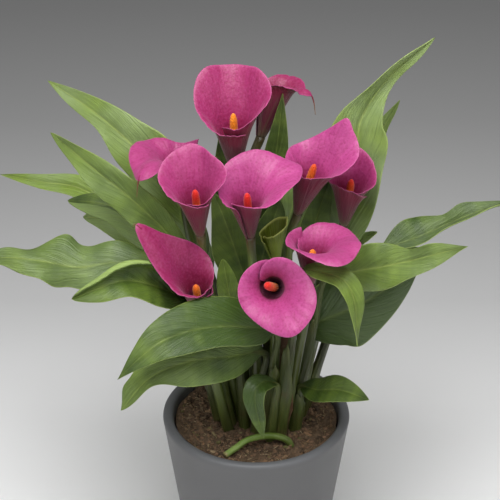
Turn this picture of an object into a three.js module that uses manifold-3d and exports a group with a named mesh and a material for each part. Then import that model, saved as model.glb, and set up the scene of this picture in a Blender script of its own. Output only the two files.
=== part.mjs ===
// Potted calla lily. A grey tapered pot full of soil carries long-stalked leaves, ten funnel
// blooms, a young green one and one old stalk that lies across the soil.
// Millimetres, +Z up, -Y is the front. The origin is the middle of the pot's flat underside.
import * as THREE from "three";
import { mergeVertices } from "three/addons/utils/BufferGeometryUtils.js";
import Module from "manifold-3d";

const wasm = await Module();
wasm.setup();

// Driving dimensions
const POT = { rim: 95, foot: 70, height: 176, lip: 11, bevel: 2, floor: 12, innerFoot: 58, steps: 36 };
const SOIL = {
  top: 167, mound: 4, moundWidth: 50, grain: 1.5, depth: 16, gap: 0.3, wall: 0.2, rings: 4, steps: 26,
};
const CLUMP = { x: 5, y: 0, focus: 110, spacing: 12, rounds: 120, clearance: 0.35, knots: [0.38, 0.74] };
const LEAF = {
  thick: 1.0, rib: 1.4, shoulder: 0.75, lag: 1.9, stalkFoot: 5.4, stalkTop: 3, stalkTip: 0.6,
  sides: 6, stalkSteps: 3, steps: 9, parts: 6, samples: 80,
};
const BLOOM = {
  thick: 1.0, foot: 3.6, overlap: 0.7, overlapTop: 1.5, tubeLean: 15, opening: 1.15, shortest: 16,
  tipWidth: 13, segments: 16, steps: 6, parts: 6, seat: 2.4, gap: 0.3,
  stalkFoot: 5.4, stalkTop: 4.1, stalkNeck: 4.8, neck: 30, sides: 7, stalkSteps: 4,
};
const SPADIX = { radius: 3.2, foot: 1.8, rise: 10, dome: 0.8, end: 0.98, sides: 6, rings: 7, knob: 0.1 };

const GREEN = new THREE.MeshStandardMaterial({ color: 0x55803a, roughness: 0.45, metalness: 0 });
const STALK_GREEN = new THREE.MeshStandardMaterial({ color: 0x5d7a35, roughness: 0.5, metalness: 0 });
const PINK = new THREE.MeshStandardMaterial({ color: 0xcf3f8c, roughness: 0.45, metalness: 0 });
const YOUNG_GREEN = new THREE.MeshStandardMaterial({ color: 0x7f9a34, roughness: 0.5, metalness: 0 });
const ORANGE = new THREE.MeshStandardMaterial({ color: 0xe2571f, roughness: 0.6, metalness: 0 });
const GREY = new THREE.MeshStandardMaterial({ color: 0x6d6e70, roughness: 0.45, metalness: 0 });
const EARTH = new THREE.MeshStandardMaterial({ color: 0x35241a, roughness: 0.95, metalness: 0 });

// Each leaf has the middle line of its blade from the stalk to the tip, its full width, and the way
// its upper face looks along that line. fold and curl are in degrees at the stalk and at the tip: fold
// lifts a half of the blade from the middle line, and curl bends it on towards the margin. wave is the
// height, number and phase of the ripples along the margins. A bulge makes one half wider, or narrower:
// it has the half, -1 or 1, the share of the blade's length where it is, the share of the width that it
// adds, and its reach. Two leaves of one shoot share a node.
const LEAVES = [
  { name: "leaf_left_high", width: 52, belly: 0.42, bulge: [[1, 0.5, 0.35, 0.1], [-1, 0.72, -0.35, 0.12]],
    line: [[-50, 50, 326], [-70, 58, 370], [-96, 72, 408], [-127, 84, 440], [-163, 94, 469],
      [-204, 104, 495]],
    face: [[-0.5, -0.75, 0.4], [-0.3, -0.8, 0.5]], fold: [15, 10], curl: [-10, 0], wave: [4, 3, 0.35] },
  { name: "leaf_left_middle", width: 37, belly: 0.45,
    line: [[-62, 0, 346], [-84, 4, 378], [-119, 10, 414], [-151, 18, 439], [-195, 30, 475]],
    face: [[-0.4, -0.8, 0.5], [-0.3, -0.85, 0.4]], fold: [18, 15], curl: [0, 0], wave: [2.5, 3, 0.3] },
  { name: "leaf_left_long", width: 30, belly: 0.42,
    line: [[-66, 40, 326], [-104, 52, 350], [-143, 62, 378], [-177, 72, 394], [-213, 80, 396],
      [-255, 88, 400]],
    face: [[-0.3, -0.6, 0.8], [0, -0.7, 0.7]], fold: [22, 18], curl: [0, 0], wave: [2, 2, 0] },
  { name: "leaf_left_dark", width: 36, belly: 0.5,
    line: [[-78, 20, 336], [-107, 30, 365], [-134, 38, 388], [-160, 46, 392], [-185, 52, 390]],
    face: [[-0.2, -0.3, 1], [0, -0.2, 1]], fold: [-60, -50], curl: [0, 0], foldRight: [5, 5],
    wave: [1, 2, 0], steps: 7 },
  { name: "leaf_left_back", shoot: "leaves_left_back", width: 36, belly: 0.5,
    line: [[-66, 66, 294], [-98, 76, 319], [-129, 86, 338], [-154, 94, 346], [-176, 100, 345]],
    face: [[-0.3, -0.7, 0.7], [0, -0.7, 0.7]], fold: [10, 10], curl: [0, 0], wave: [2, 2, 0], steps: 8 },
  { name: "leaf_left_low", width: 50, belly: 0.48,
    bulge: [[1, 0.61, 0.6, 0.09], [-1, 0.57, -0.3, 0.05], [-1, 0.86, -0.5, 0.09]],
    line: [[-65, -5, 320], [-97, -12, 352], [-135, -18, 361], [-170, -24, 359], [-207, -28, 369],
      [-242, -32, 374], [-266, -36, 364]],
    face: [[-0.2, -0.5, 0.9], [0, -0.6, 0.8], [0.1, -0.3, 1]], fold: [5, 0], curl: [-30, -40],
    wave: [6, 4, 0.45] },
  { name: "leaf_left_curled", width: 44, belly: 0.5,
    line: [[-55, -18, 309], [-87, -38, 343], [-121, -58, 365], [-148, -72, 364], [-171, -82, 359]],
    face: [[-0.2, -0.4, 0.9], [0, -0.4, 0.9]], fold: [5, 5], curl: [-20, -20], foldRight: [5, 10],
    curlRight: [60, 65], wave: [2, 2, 0] },
  { name: "leaf_front_big", width: 62, belly: 0.38, bulge: [[-1, 0.35, -0.35, 0.3]],
    line: [[18, -48, 300], [-16, -70, 321.3], [-53, -91, 332.3], [-85, -108, 331], [-107, -119, 319],
      [-128, -129, 301]],
    face: [[-0.2, -0.7, 0.7], [-0.3, -0.7, 0.7]], fold: [10, 10], curl: [-20, -20], wave: [1.5, 1, 0] },
  { name: "leaf_front_left", width: 50, belly: 0.45, bulge: [[-1, 0.8, -0.5, 0.16], [1, 0.92, 0.6, 0.06]],
    line: [[8, -33, 267], [-27, -60, 281], [-65, -84, 291], [-100, -104, 286], [-127, -118, 259]],
    face: [[-0.1, -0.8, 0.5], [-0.3, -0.8, 0.5]], fold: [5, 5], curl: [-20, -20], wave: [4, 2, 0.6] },
  { name: "leaf_front_small", width: 30, belly: 0.42,
    line: [[20, -48, 240], [10, -61, 254], [0, -73, 254], [-1, -82, 238], [7, -84, 202]],
    face: [[0, -0.4, 1], [-0.5, -0.8, 0.5], [0, -1, 0.1]], fold: [10, 10], curl: [-10, 0],
    wave: [1.5, 2, 0], steps: 8 },
  { name: "leaf_front_right", width: 30, belly: 0.45,
    line: [[44, -20, 219], [60, -38, 228], [81, -56, 240], [108, -76, 242]],
    face: [[0, -0.6, 0.8], [0, -0.6, 0.8]], fold: [10, 10], curl: [-10, -10], wave: [1, 2, 0], steps: 7 },
  { name: "leaf_right_low", width: 70, belly: 0.38, bulge: [[1, 0.32, 0.22, 0.13]],
    line: [[39, 2, 268], [67, -9, 291], [99, -18, 313], [131, -24, 340], [157, -28, 367]],
    face: [[0, -1, 0.2], [0, -1, 0.2]], fold: [5, 5], curl: [-20, -20], wave: [2, 2, 0] },
  { name: "leaf_right_front", width: 46, belly: 0.4, bulge: [[-1, 0.66, -0.45, 0.12]],
    line: [[66, -14, 340], [94, -28, 357], [121, -42, 371], [147, -52, 384], [171, -60, 396],
      [194, -66, 406]],
    face: [[0, -0.7, 0.7], [0, -0.7, 0.7]], fold: [15, 15], curl: [-20, 0], wave: [4, 2.5, 0.4] },
  { name: "leaf_front_hanging", width: 24, belly: 0.4,
    line: [[41, -64, 376], [58, -76, 385], [80, -89, 383], [90, -98, 362], [93, -104, 321]],
    face: [[0, -0.2, 1], [0.3, -0.6, 0.7], [0.9, -0.5, 0.2]], fold: [10, 10], curl: [0, 0],
    wave: [1, 2, 0], steps: 8 },
  { name: "leaf_right_long", width: 42, belly: 0.42,
    bulge: [[-1, 0.2, -0.7, 0.12], [-1, 0.62, -0.45, 0.08]],
    line: [[92, 14, 330], [129, 28, 350], [161, 38, 358], [195, 46, 371], [229, 52, 382], [253, 56, 386]],
    face: [[0, -0.6, 0.8], [0, -0.6, 0.8]], fold: [10, 5], curl: [0, 0], foldRight: [25, 55],
    curlRight: [30, 30], wave: [4, 3, 0.2] },
  { name: "leaf_right_dark", width: 22, belly: 0.45,
    line: [[88, 30, 315], [112, 46, 322], [138, 58, 324], [158, 68, 323], [174, 76, 322]],
    face: [[0, -0.6, 0.8], [0, -0.6, 0.8]], fold: [10, 10], curl: [0, 0], wave: [2, 2, 0], steps: 6 },
  { name: "leaf_right_high", width: 60, belly: 0.4,
    bulge: [[-1, 0.48, 0.3, 0.08], [-1, 0.7, -0.3, 0.1], [1, 0.52, 0.2, 0.08], [1, 0.74, -0.5, 0.14]],
    line: [[78, 58, 313], [88, 63, 361], [94, 68, 404], [98, 76, 440], [104, 84, 468], [130, 98, 502],
      [173, 112, 537]],
    face: [[-0.1, -0.9, 0.3], [-0.1, -0.9, 0.3], [0.5, -0.8, 0]], fold: [15, 40], curl: [-10, 0],
    wave: [4, 3, 0] },
  { name: "leaf_right_back", shoot: "leaves_right_back", width: 36, belly: 0.42,
    line: [[80, 84, 302], [96, 98, 360], [114, 112, 412], [143, 126, 464]],
    face: [[-0.1, -0.9, 0.3], [-0.1, -0.9, 0.3]], fold: [15, 15], curl: [0, 0], wave: [2, 2, 0],
    bulge: [[1, 0.84, -0.5, 0.12]] },
  { name: "leaf_top", width: 24, belly: 0.4,
    line: [[11, 44, 359], [13, 50, 403], [20, 56, 449], [25, 62, 501]],
    face: [[0, -0.9, 0.3], [0, -0.9, 0.3]], fold: [20, 20], curl: [0, 0], wave: [1, 2, 0], steps: 6 },
  { name: "leaf_top_left", width: 22, belly: 0.4,
    line: [[-26, 46, 355], [-32, 56, 399], [-37, 66, 451]],
    face: [[0, -0.9, 0.3], [0, -0.9, 0.3]], fold: [20, 20], curl: [0, 0], wave: [1, 2, 0], steps: 6 },
  { name: "leaf_right_rolled", width: 18, belly: 0.5,
    line: [[62, 66, 304], [88, 76, 321], [122, 80, 339]],
    face: [[0, -0.6, 0.8], [0, -0.6, 0.8]], fold: [30, 30], curl: [0, 0], wave: [1, 2, 0], steps: 6 },
  { name: "leaf_middle_right", width: 28, belly: 0.45,
    line: [[48, 42, 326], [58, 52, 366], [72, 62, 408]],
    face: [[0, -0.9, 0.3], [0, -0.9, 0.3]], fold: [20, 20], curl: [0, 0], wave: [1, 2, 0], steps: 6 },
  { name: "leaf_middle_left", width: 18, belly: 0.5,
    line: [[-11, 5, 333], [-22, 14, 367], [-33, 22, 391], [-42, 28, 412]],
    face: [[0, -0.9, 0.3], [0, -0.9, 0.3]], fold: [20, 20], curl: [0, 0], wave: [1, 2, 0], steps: 6 },
  { name: "leaf_front_upright", width: 16, belly: 0.5,
    line: [[-21, -22, 301], [-27, -26, 335], [-32, -24, 368]],
    face: [[0, -0.9, 0.3], [0, -0.9, 0.3]], fold: [20, 20], curl: [0, 0], wave: [1, 2, 0], steps: 6 },
  { name: "leaf_middle", width: 26, belly: 0.5,
    line: [[5, 24, 344], [13, 36, 368], [23, 44, 395]],
    face: [[0, -0.9, 0.3], [0, -0.9, 0.3]], fold: [20, 20], curl: [0, 0], wave: [1, 2, 0], steps: 6 },
  { name: "leaf_back_far_left", shoot: "leaves_left_back", width: 46, belly: 0.45,
    line: [[-46, 82, 290], [-74, 118, 326], [-98, 150, 338], [-116, 178, 330], [-126, 200, 308]],
    face: [[-0.3, 0.4, 1], [-0.2, 0.3, 1]], fold: [12, 12], curl: [-20, -20], wave: [4, 2, 0], steps: 8 },
  { name: "leaf_back_left", shoot: "leaves_back", width: 52, belly: 0.45,
    line: [[-6, 66, 306], [-14, 98, 346], [-24, 134, 358], [-34, 170, 346], [-42, 198, 318]],
    face: [[-0.1, 0.4, 1], [0, 0.6, 1]], fold: [12, 12], curl: [-20, -20], wave: [4, 2, 0], steps: 8 },
  { name: "leaf_back_right", shoot: "leaves_back", width: 50, belly: 0.45,
    line: [[22, 70, 304], [34, 104, 344], [46, 140, 354], [58, 174, 338], [68, 200, 306]],
    face: [[0.1, 0.4, 1], [0.1, 0.6, 1]], fold: [12, 12], curl: [-20, -20], wave: [4, 2, 0.3], steps: 8 },
  { name: "leaf_back_far_right", shoot: "leaves_right_back", width: 42, belly: 0.45,
    line: [[66, 90, 288], [82, 124, 328], [96, 154, 338], [106, 180, 328], [112, 200, 304]],
    face: [[0.1, 0.4, 1], [0.2, 0.4, 1]], fold: [12, 12], curl: [-20, -20], wave: [4, 2, 0.6], steps: 8 },
];

// The directions, in degrees round the mouth from the back, at which a spathe's wall is measured.
const STOPS = [-212, -150, -90, -45, 0, 45, 90, 150, 212];

// Each bloom has the foot of its spathe, the tube's direction and the side that its tip is on. reach
// is the wall's length from the foot to the margin and flare the margin's lean from the tube, at each
// stop. hand is 1 where the margin that wraps over the other comes round from the left.
const BLOOMS = [
  { name: "01", base: [-20, 30, 433], axis: [-0.03, -0.12, 1],
    back: [0.05, 1, 0], hand: 1, tube: 42, tip: 2,
    spadix: 66, reach: [63, 68, 90, 103, 102, 104, 82, 60, 58],
    flare: [18, 22, 39, 28, 42, 38, 48, 40, 36] },
  { name: "02", base: [4, 66, 452], axis: [0.32, 0.3, 1],
    back: [1, -0.35, 0], hand: 1, tube: 50, tip: 15,
    spadix: 50, reach: [46, 52, 56, 68, 62, 68, 68, 54, 50],
    flare: [20, 32, 66, 100, 140, 60, 56, 38, 34] },
  { name: "03", base: [-70, 38, 399], axis: [-0.1, 0, 1],
    back: [-0.6, -0.8, 0], hand: -1, tube: 36, tip: 12,
    spadix: 44, reach: [42, 52, 62, 84, 86, 82, 70, 54, 62],
    flare: [18, 30, 45, 60, 140, 95, 75, 44, 12] },
  { name: "04", base: [-53, -22, 394], axis: [-0.08, -0.2, 1],
    back: [-0.05, 1, 0], hand: 1, tube: 36, tip: 2,
    spadix: 54, reach: [52, 54, 75, 82, 86, 82, 73, 60, 53],
    flare: [18, 30, 43, 18, 44, 40, 47, 32, 36] },
  { name: "05", base: [-6, -19, 388.9], axis: [-0.06, -0.2, 1],
    back: [0.85, 0.5, 0], hand: 1, tube: 36, tip: 4,
    spadix: 54, reach: [44, 58, 68, 82, 88, 86, 76, 62, 58],
    flare: [20, 34, 60, 74, 116, 54, 50, 38, 34] },
  { name: "06", base: [40, 24, 391.2], axis: [0.25, -0.2, 1],
    back: [0.62, 0.78, 0], hand: 1, tube: 40, tip: 4,
    spadix: 62, reach: [54, 66, 80, 93, 101, 76, 68, 62, 64],
    flare: [18, 28, 37, 39, 15, 50, 62, 36, 24] },
  { name: "07", base: [86, 46, 367.4], axis: [0.1, -0.2, 1],
    back: [-0.1, 1, 0], hand: 1, tube: 38, tip: 3,
    spadix: 56, reach: [54, 56, 65, 74, 80, 80, 66, 64, 56],
    flare: [18, 26, 33, 25, 45, 48, 50, 20, 42] },
  { name: "08", base: [-54, -34, 312], axis: [-0.08, -0.3, 0.95],
    back: [-1, 0.4, 0.1], hand: -1, tube: 36, tip: 22,
    spadix: 48, reach: [42, 50, 60, 66, 100, 84, 64, 42, 46],
    flare: [20, 34, 52, 44, 42, 22, 58, 34, 36] },
  { name: "09", base: [50, -46, 354], axis: [0.05, -0.12, 1],
    back: [0.9, -0.4, 0], hand: -1, tube: 34, tip: 3,
    spadix: 44, reach: [42, 50, 64, 70, 79, 90, 71, 58, 55],
    flare: [24, 36, 84, 92, 90, 105, 68, 52, 24] },
  { name: "10", base: [18, -38, 346], axis: [-0.1, -0.87, 0.5],
    back: [0.5, -0.3, -1], hand: -1, tube: 34, tip: 3,
    spadix: 46, reach: [42, 62, 68, 82, 84, 67, 62, 58, 52],
    flare: [35, 60, 82, 85, 85, 82, 82, 66, 66] },
];
const YOUNG_BLOOM = {
  base: [19, 6, 348], axis: [-0.12, 0.05, 1], back: [1, 0.3, 0], hand: 1, tube: 26, tip: 2, gap: -0.6,
  reach: [28, 32, 36, 40, 44, 42, 36, 30, 26], flare: [8, 8, 12, 18, 22, 18, 12, 8, 8],
};

// The old stalk: it leaves the clump at the front, arches over the soil and ends at the pot's rim.
const OLD_STALK = {
  line: [[38, -47, 156], [30, -49, 175], [12, -50, 181], [-8, -54, 179], [-20, -62, 175], [-31, -71, 172.5]],
  foot: 3.6, top: 3.0, steps: 9, buried: 2,
};

const v3 = (p) => new THREE.Vector3(...p);
const deg = THREE.MathUtils.degToRad;
const mix = THREE.MathUtils.lerp;
const curveThrough = (points) => new THREE.CatmullRomCurve3(points.map(v3), false, "catmullrom", 0.5);

// A closed mesh from its corners and triangles, turned so that its faces point outwards.
function closedMesh(points, faces) {
  let volume = 0;
  for (let i = 0; i < faces.length; i += 3) {
    const [a, b, c] = [points[faces[i]], points[faces[i + 1]], points[faces[i + 2]]];
    volume += a.dot(b.clone().cross(c));
  }
  if (volume < 0) faces.reverse();
  const made = new THREE.BufferGeometry();
  const numbers = points.flatMap((p) => p.toArray());
  made.setAttribute("position", new THREE.Float32BufferAttribute(numbers, 3));
  return made.setIndex(faces);
}

// The skin between rings of points joined in order. Where a ring goes out along one face of a sheet
// and back along the other, both faces are split into triangles along the same lines.
function skin(rings, isSheet) {
  const n = rings[0].length;
  const faces = [];
  const at = (r, k) => r * n + (k % n);
  for (let r = 0; r + 1 < rings.length; r++) {
    for (let k = 0; k < n; k++) {
      const [a, b, c, d] = [at(r, k), at(r + 1, k), at(r + 1, k + 1), at(r, k + 1)];
      if (isSheet && k >= n / 2) faces.push(a, b, c, a, c, d);
      else faces.push(a, b, d, d, b, c);
    }
  }
  return faces;
}

// A body whose ends are drawn to a point each.
function pointedBody(rings, first, last, isSheet = false) {
  const n = rings[0].length;
  const points = [...rings.flat(), first, last];
  const [start, end, base] = [points.length - 2, points.length - 1, (rings.length - 1) * n];
  const faces = skin(rings, isSheet);
  for (let k = 0; k < n; k++) {
    faces.push(start, k, (k + 1) % n);
    faces.push(end, base + ((k + 1) % n), base + k);
  }
  return closedMesh(points, faces);
}

// A sheet whose rings are closed straight across at both ends.
function sheetBody(rings) {
  const n = rings[0].length;
  const last = (rings.length - 1) * n;
  const faces = skin(rings, true);
  for (let k = 0; k + 1 < n / 2; k++) {
    const [a, b, c, d] = [k, k + 1, n - 2 - k, n - 1 - k];
    faces.push(a, b, d, b, c, d);
    faces.push(last + b, last + a, last + d, last + c, last + b, last + d);
  }
  return closedMesh(rings.flat(), faces);
}

function solidOf(geometry) {
  const bare = geometry.clone();
  for (const name of Object.keys(bare.attributes)) {
    if (name !== "position") bare.deleteAttribute(name);
  }
  const merged = mergeVertices(bare, 1e-3);
  return new wasm.Manifold(
    new wasm.Mesh({
      numProp: 3,
      vertProperties: merged.attributes.position.array,
      triVerts: new Uint32Array(merged.index.array),
    }),
  );
}

function geometryOf(solid) {
  const mesh = solid.getMesh();
  const points = [];
  for (let i = 0; i < mesh.numVert; i++) {
    points.push(...mesh.vertProperties.subarray(i * mesh.numProp, i * mesh.numProp + 3));
  }
  const made = new THREE.BufferGeometry();
  made.setAttribute("position", new THREE.Float32BufferAttribute(points, 3));
  return made.setIndex(Array.from(mesh.triVerts));
}

function piece(name, geometry, material) {
  const mesh = new THREE.Mesh(geometry, material);
  mesh.name = name;
  return mesh;
}

// A ring of points round a curve, square to it.
function ringRound(curve, t, radius, sides, bump = () => 1) {
  const ahead = curve.getTangent(t);
  const side = ahead.clone().cross(new THREE.Vector3(0.1, 1, 0)).normalize();
  const out = side.clone().cross(ahead);
  const centre = curve.getPoint(t);
  return Array.from({ length: sides }, (_, k) => {
    const a = (2 * Math.PI * k) / sides;
    const r = radius * bump(k);
    return centre.clone().addScaledVector(side, r * Math.cos(a)).addScaledVector(out, r * Math.sin(a));
  });
}

// A round stalk along a curve from one share of it to another. radius is a function of the share of
// the stalk's own length.
function stalk(curve, radius, sides, steps, to = 1) {
  const rings = [];
  for (let i = 0; i <= steps; i++) rings.push(ringRound(curve, (to * i) / steps, radius(i / steps), sides));
  return pointedBody(rings, curve.getPoint(0), curve.getPoint(to));
}

// The hole that a stalk stands in: its lowest stretch, a little wider and longer.
function holeFor({ curve, radius, sides, steps, to, buried = 1 }) {
  const down = curve.getTangent(0).multiplyScalar(-CLUMP.clearance);
  const rings = [];
  for (let i = 0; i <= buried; i++) {
    rings.push(ringRound(curve, (to * i) / steps, radius(i / steps) + CLUMP.clearance, sides));
  }
  rings[0].forEach((p) => p.add(down));
  return solidOf(pointedBody(rings, curve.getPoint(0).add(down), curve.getPoint((to * buried) / steps)));
}

// The stalks fan out from the clump. Each foot lies on the line from its stalk's top to a focus
// under the soil, and the feet are then pushed apart until they stand clear of each other.
function plantFeet(tops) {
  const feet = tops.map(([x, y, z]) => {
    const share = CLUMP.focus / (CLUMP.focus + z - SOIL.top);
    return [CLUMP.x + (x - CLUMP.x) * share, CLUMP.y + (y - CLUMP.y) * share];
  });
  for (let round = 0; round < CLUMP.rounds; round++) {
    feet.forEach((a, i) => {
      feet.slice(i + 1).forEach((b) => {
        const [dx, dy] = [b[0] - a[0], b[1] - a[1]];
        const apart = Math.hypot(dx, dy);
        const push = Math.max(0, CLUMP.spacing - apart) / 2 / apart;
        a[0] -= dx * push;
        a[1] -= dy * push;
        b[0] += dx * push;
        b[1] += dy * push;
      });
    });
  }
  return feet.map(([x, y]) => [x, y, SOIL.top - SOIL.depth]);
}

// The line of a stalk that stands straight from its foot up to where the given points take over.
function standingCurve(foot, points) {
  const lean = v3(points[0]).sub(v3(foot));
  const on = CLUMP.knots.map((share) => v3(foot).addScaledVector(lean, share).toArray());
  return curveThrough([foot, ...on, ...points]);
}

// Leaves

// Half the width at a share s of the blade's length, as a share of the widest half.
function outline(s, belly) {
  const taper = (LEAF.shoulder * (1 - belly)) / belly;
  return (s / belly) ** LEAF.shoulder * ((1 - s) / (1 - belly)) ** taper;
}

// The way that the upper face looks, mixed between the given ones.
function facing(faces, s) {
  const i = Math.min(faces.length - 2, Math.floor(s * (faces.length - 1)));
  return v3(faces[i]).lerp(v3(faces[i + 1]), s * (faces.length - 1) - i);
}

const ACROSS = [-1, -0.55, 0, 0.55, 1];

// One cross-section of the blade: the upper face from left to right, then the lower face back.
function bladeSection(leaf, curve, t, s) {
  const ahead = curve.getTangent(t);
  const side = ahead.clone().cross(facing(leaf.face, s)).normalize();
  const up = side.clone().cross(ahead);
  const centre = curve.getPoint(t);
  const share = outline(s, leaf.belly);
  const [high, count, phase] = leaf.wave;
  const spread = (u) => {
    const bulges = (leaf.bulge ?? []).filter(([half]) => half * u > 0);
    const added = bulges.map(([, at, size, reach]) => size * Math.exp(-(((s - at) / reach) ** 2)));
    return added.reduce((sum, size) => sum + size, 1);
  };
  const spot = (u) => {
    const fold = (u > 0 && leaf.foldRight) || leaf.fold;
    const curl = (u > 0 && leaf.curlRight) || leaf.curl;
    const part = ((leaf.width / 2) * share * spread(u) * Math.abs(u)) / LEAF.parts;
    let [x, n] = [0, 0];
    for (let i = 0; i < LEAF.parts; i++) {
      const w = ((i + 0.5) / LEAF.parts) * Math.abs(u);
      const angle = deg(mix(...fold, s) + mix(...curl, s) * w);
      x += part * Math.cos(angle);
      n += part * Math.sin(angle);
    }
    const ripple = Math.sin(2 * Math.PI * (count * s + phase) + (u > 0 ? LEAF.lag : 0));
    return [Math.sign(u) * x, n + high * u * u * Math.sqrt(share) * ripple];
  };
  const place = (u, down) => {
    const [x, n] = spot(u);
    return centre.clone().addScaledVector(side, x).addScaledVector(up, n - down);
  };
  const depth = (u) => LEAF.thick + (u === 0 ? LEAF.rib * (1 - s) : 0);
  return [...ACROSS.map((u) => place(u, 0)), ...[...ACROSS].reverse().map((u) => place(u, depth(u)))];
}

function blade(leaf, curve, start) {
  const fine = LEAF.samples;
  const shares = Array.from({ length: fine + 1 }, (_, i) => mix(start, 1, i / fine));
  const points = shares.map((t) => curve.getPoint(t));
  const run = [0];
  for (let i = 1; i <= fine; i++) run.push(run[i - 1] + points[i].distanceTo(points[i - 1]));
  const steps = leaf.steps ?? LEAF.steps;
  const rings = [];
  for (let i = 1; i < steps; i++) {
    const along = (i / steps) * run[fine];
    const k = run.findIndex((r) => r >= along);
    const t = mix(shares[k - 1], shares[k], (along - run[k - 1]) / (run[k] - run[k - 1]));
    rings.push(bladeSection(leaf, curve, t, i / steps));
  }
  return pointedBody(rings, curve.getPoint(start), curve.getPoint(1), true);
}

// A leaf's stalk: the blade starts three spans up its curve, and the stalk ends inside the blade.
function leafStalk(leaf, foot) {
  const curve = standingCurve(foot, leaf.line);
  const spans = leaf.line.length + 2;
  const radius = (w) => mix(LEAF.stalkFoot, LEAF.stalkTop, w) * (w === 1 ? LEAF.stalkTip : 1);
  return { curve, radius, start: 3 / spans, to: 3.5 / spans, sides: LEAF.sides, steps: LEAF.stalkSteps };
}

// Blooms

// The value at an angle in degrees, read smoothly between those given at the stops.
function around(values, angle) {
  const last = STOPS.length - 1;
  const k = angle >= STOPS[last] ? last - 1 : Math.max(0, STOPS.findIndex((a) => a > angle) - 1);
  const slope = (j) => {
    const [a, b] = [Math.max(0, j - 1), Math.min(last, j + 1)];
    return (values[b] - values[a]) / (STOPS[b] - STOPS[a]);
  };
  const gap = STOPS[k + 1] - STOPS[k];
  const t = (angle - STOPS[k]) / gap;
  const [t2, t3] = [t * t, t * t * t];
  return (2 * t3 - 3 * t2 + 1) * values[k] + (t3 - 2 * t2 + t) * gap * slope(k)
    + (3 * t2 - 2 * t3) * values[k + 1] + (t3 - t2) * gap * slope(k + 1);
}

// The spathe's wall from its foot to the margin, at an angle from the back, as pairs of distance
// from the tube's middle line and height along it.
function wallLine(bloom, angle) {
  const reach = around(bloom.reach, angle) + bloom.tip * Math.exp(-((angle / BLOOM.tipWidth) ** 2));
  const flare = around(bloom.flare, angle);
  const step = reach / BLOOM.steps / BLOOM.parts;
  const points = [];
  let [r, h] = [BLOOM.foot, 0];
  for (let i = 0; i <= BLOOM.steps; i++) {
    const opened = Math.min(1, (i * BLOOM.parts * step) / bloom.tube);
    points.push([r + (mix(BLOOM.overlap, BLOOM.overlapTop, opened) * angle) / 180, h]);
    for (let k = 0; k < BLOOM.parts; k++) {
      const run = (i * BLOOM.parts + k + 0.5) * step;
      const open = Math.max(0, run - bloom.tube) / Math.max(BLOOM.shortest, reach - bloom.tube);
      const lean = deg(mix(BLOOM.tubeLean, flare, Math.min(1, open ** BLOOM.opening)));
      r += step * Math.sin(lean);
      h += step * Math.cos(lean);
    }
  }
  return points;
}

function bloomFrame(bloom) {
  const axis = v3(bloom.axis).normalize();
  const side = axis.clone().cross(v3(bloom.back)).normalize();
  return { axis, side, back: side.clone().cross(axis), base: v3(bloom.base) };
}

// The rolled sheet of the spathe.
function spathe(bloom) {
  const { axis, side, back, base } = bloomFrame(bloom);
  const rings = [];
  for (let i = 0; i <= BLOOM.segments; i++) {
    const angle = mix(STOPS[0], STOPS.at(-1), i / BLOOM.segments);
    const line = wallLine(bloom, angle);
    const turned = deg(angle * bloom.hand);
    const out = back.clone().multiplyScalar(Math.cos(turned)).addScaledVector(side, Math.sin(turned));
    const faceAt = (shift) =>
      line.map(([r, h], k) => {
        const [r0, h0] = line[Math.max(0, k - 1)];
        const [r1, h1] = line[Math.min(line.length - 1, k + 1)];
        const size = Math.hypot(r1 - r0, h1 - h0) / shift;
        const [dr, dh] = [(h1 - h0) / size, (r0 - r1) / size];
        return base.clone().addScaledVector(axis, h + dh).addScaledVector(out, r + dr);
      });
    rings.push([...faceAt(-BLOOM.thick / 2), ...faceAt(BLOOM.thick / 2).reverse()]);
  }
  return sheetBody(rings);
}

function flowerStalk(bloom, foot) {
  const { axis, base } = bloomFrame(bloom);
  const top = base.clone().addScaledVector(axis, -(bloom.gap ?? BLOOM.gap));
  const radius = (w) => (w === 1 ? BLOOM.stalkNeck : mix(BLOOM.stalkFoot, BLOOM.stalkTop, w));
  const curve = standingCurve(foot, [neckOf(bloom), top.toArray()]);
  return { curve, radius, to: 1, sides: BLOOM.sides, steps: BLOOM.stalkSteps };
}

// A flower stalk with the small peg at its top that the spathe's tube is rolled round.
function flowerStalkMesh(bloom, { curve, radius, sides, steps }) {
  const { axis, base } = bloomFrame(bloom);
  const rings = [];
  for (let i = 0; i <= steps; i++) rings.push(ringRound(curve, i / steps, radius(i / steps), sides));
  const inward = 1 - SPADIX.foot / BLOOM.stalkNeck;
  const shoulder = rings.at(-1).map((p) => p.clone().lerp(curve.getPoint(1), inward));
  const top = base.clone().addScaledVector(axis, BLOOM.seat);
  const lift = top.clone().sub(curve.getPoint(1));
  rings.push(shoulder, shoulder.map((p) => p.clone().add(lift)));
  return pointedBody(rings, curve.getPoint(0), top);
}

function neckOf(bloom) {
  const { axis, base } = bloomFrame(bloom);
  return base.addScaledVector(axis, -BLOOM.neck).toArray();
}

// The knobbly spike on the seat inside the tube.
function spadix(bloom) {
  const { axis, base } = bloomFrame(bloom);
  const low = base.clone().addScaledVector(axis, BLOOM.seat + BLOOM.gap);
  const line = new THREE.LineCurve3(low, base.clone().addScaledVector(axis, bloom.spadix));
  const rise = SPADIX.rise / bloom.spadix;
  const rings = [];
  for (let i = 0; i <= SPADIX.rings; i++) {
    const t = (i / SPADIX.rings) * SPADIX.end;
    const grown = mix(SPADIX.foot, SPADIX.radius, Math.min(1, t / rise));
    const radius = grown * Math.sqrt(1 - Math.max(0, (t - SPADIX.dome) / (1 - SPADIX.dome)) ** 2);
    const knob = t < rise ? 0 : SPADIX.knob;
    rings.push(ringRound(line, t, radius, SPADIX.sides, (k) => 1 + knob * (-1) ** (i + k)));
  }
  return pointedBody(rings, low, line.getPoint(1));
}

// Pot and soil

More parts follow.
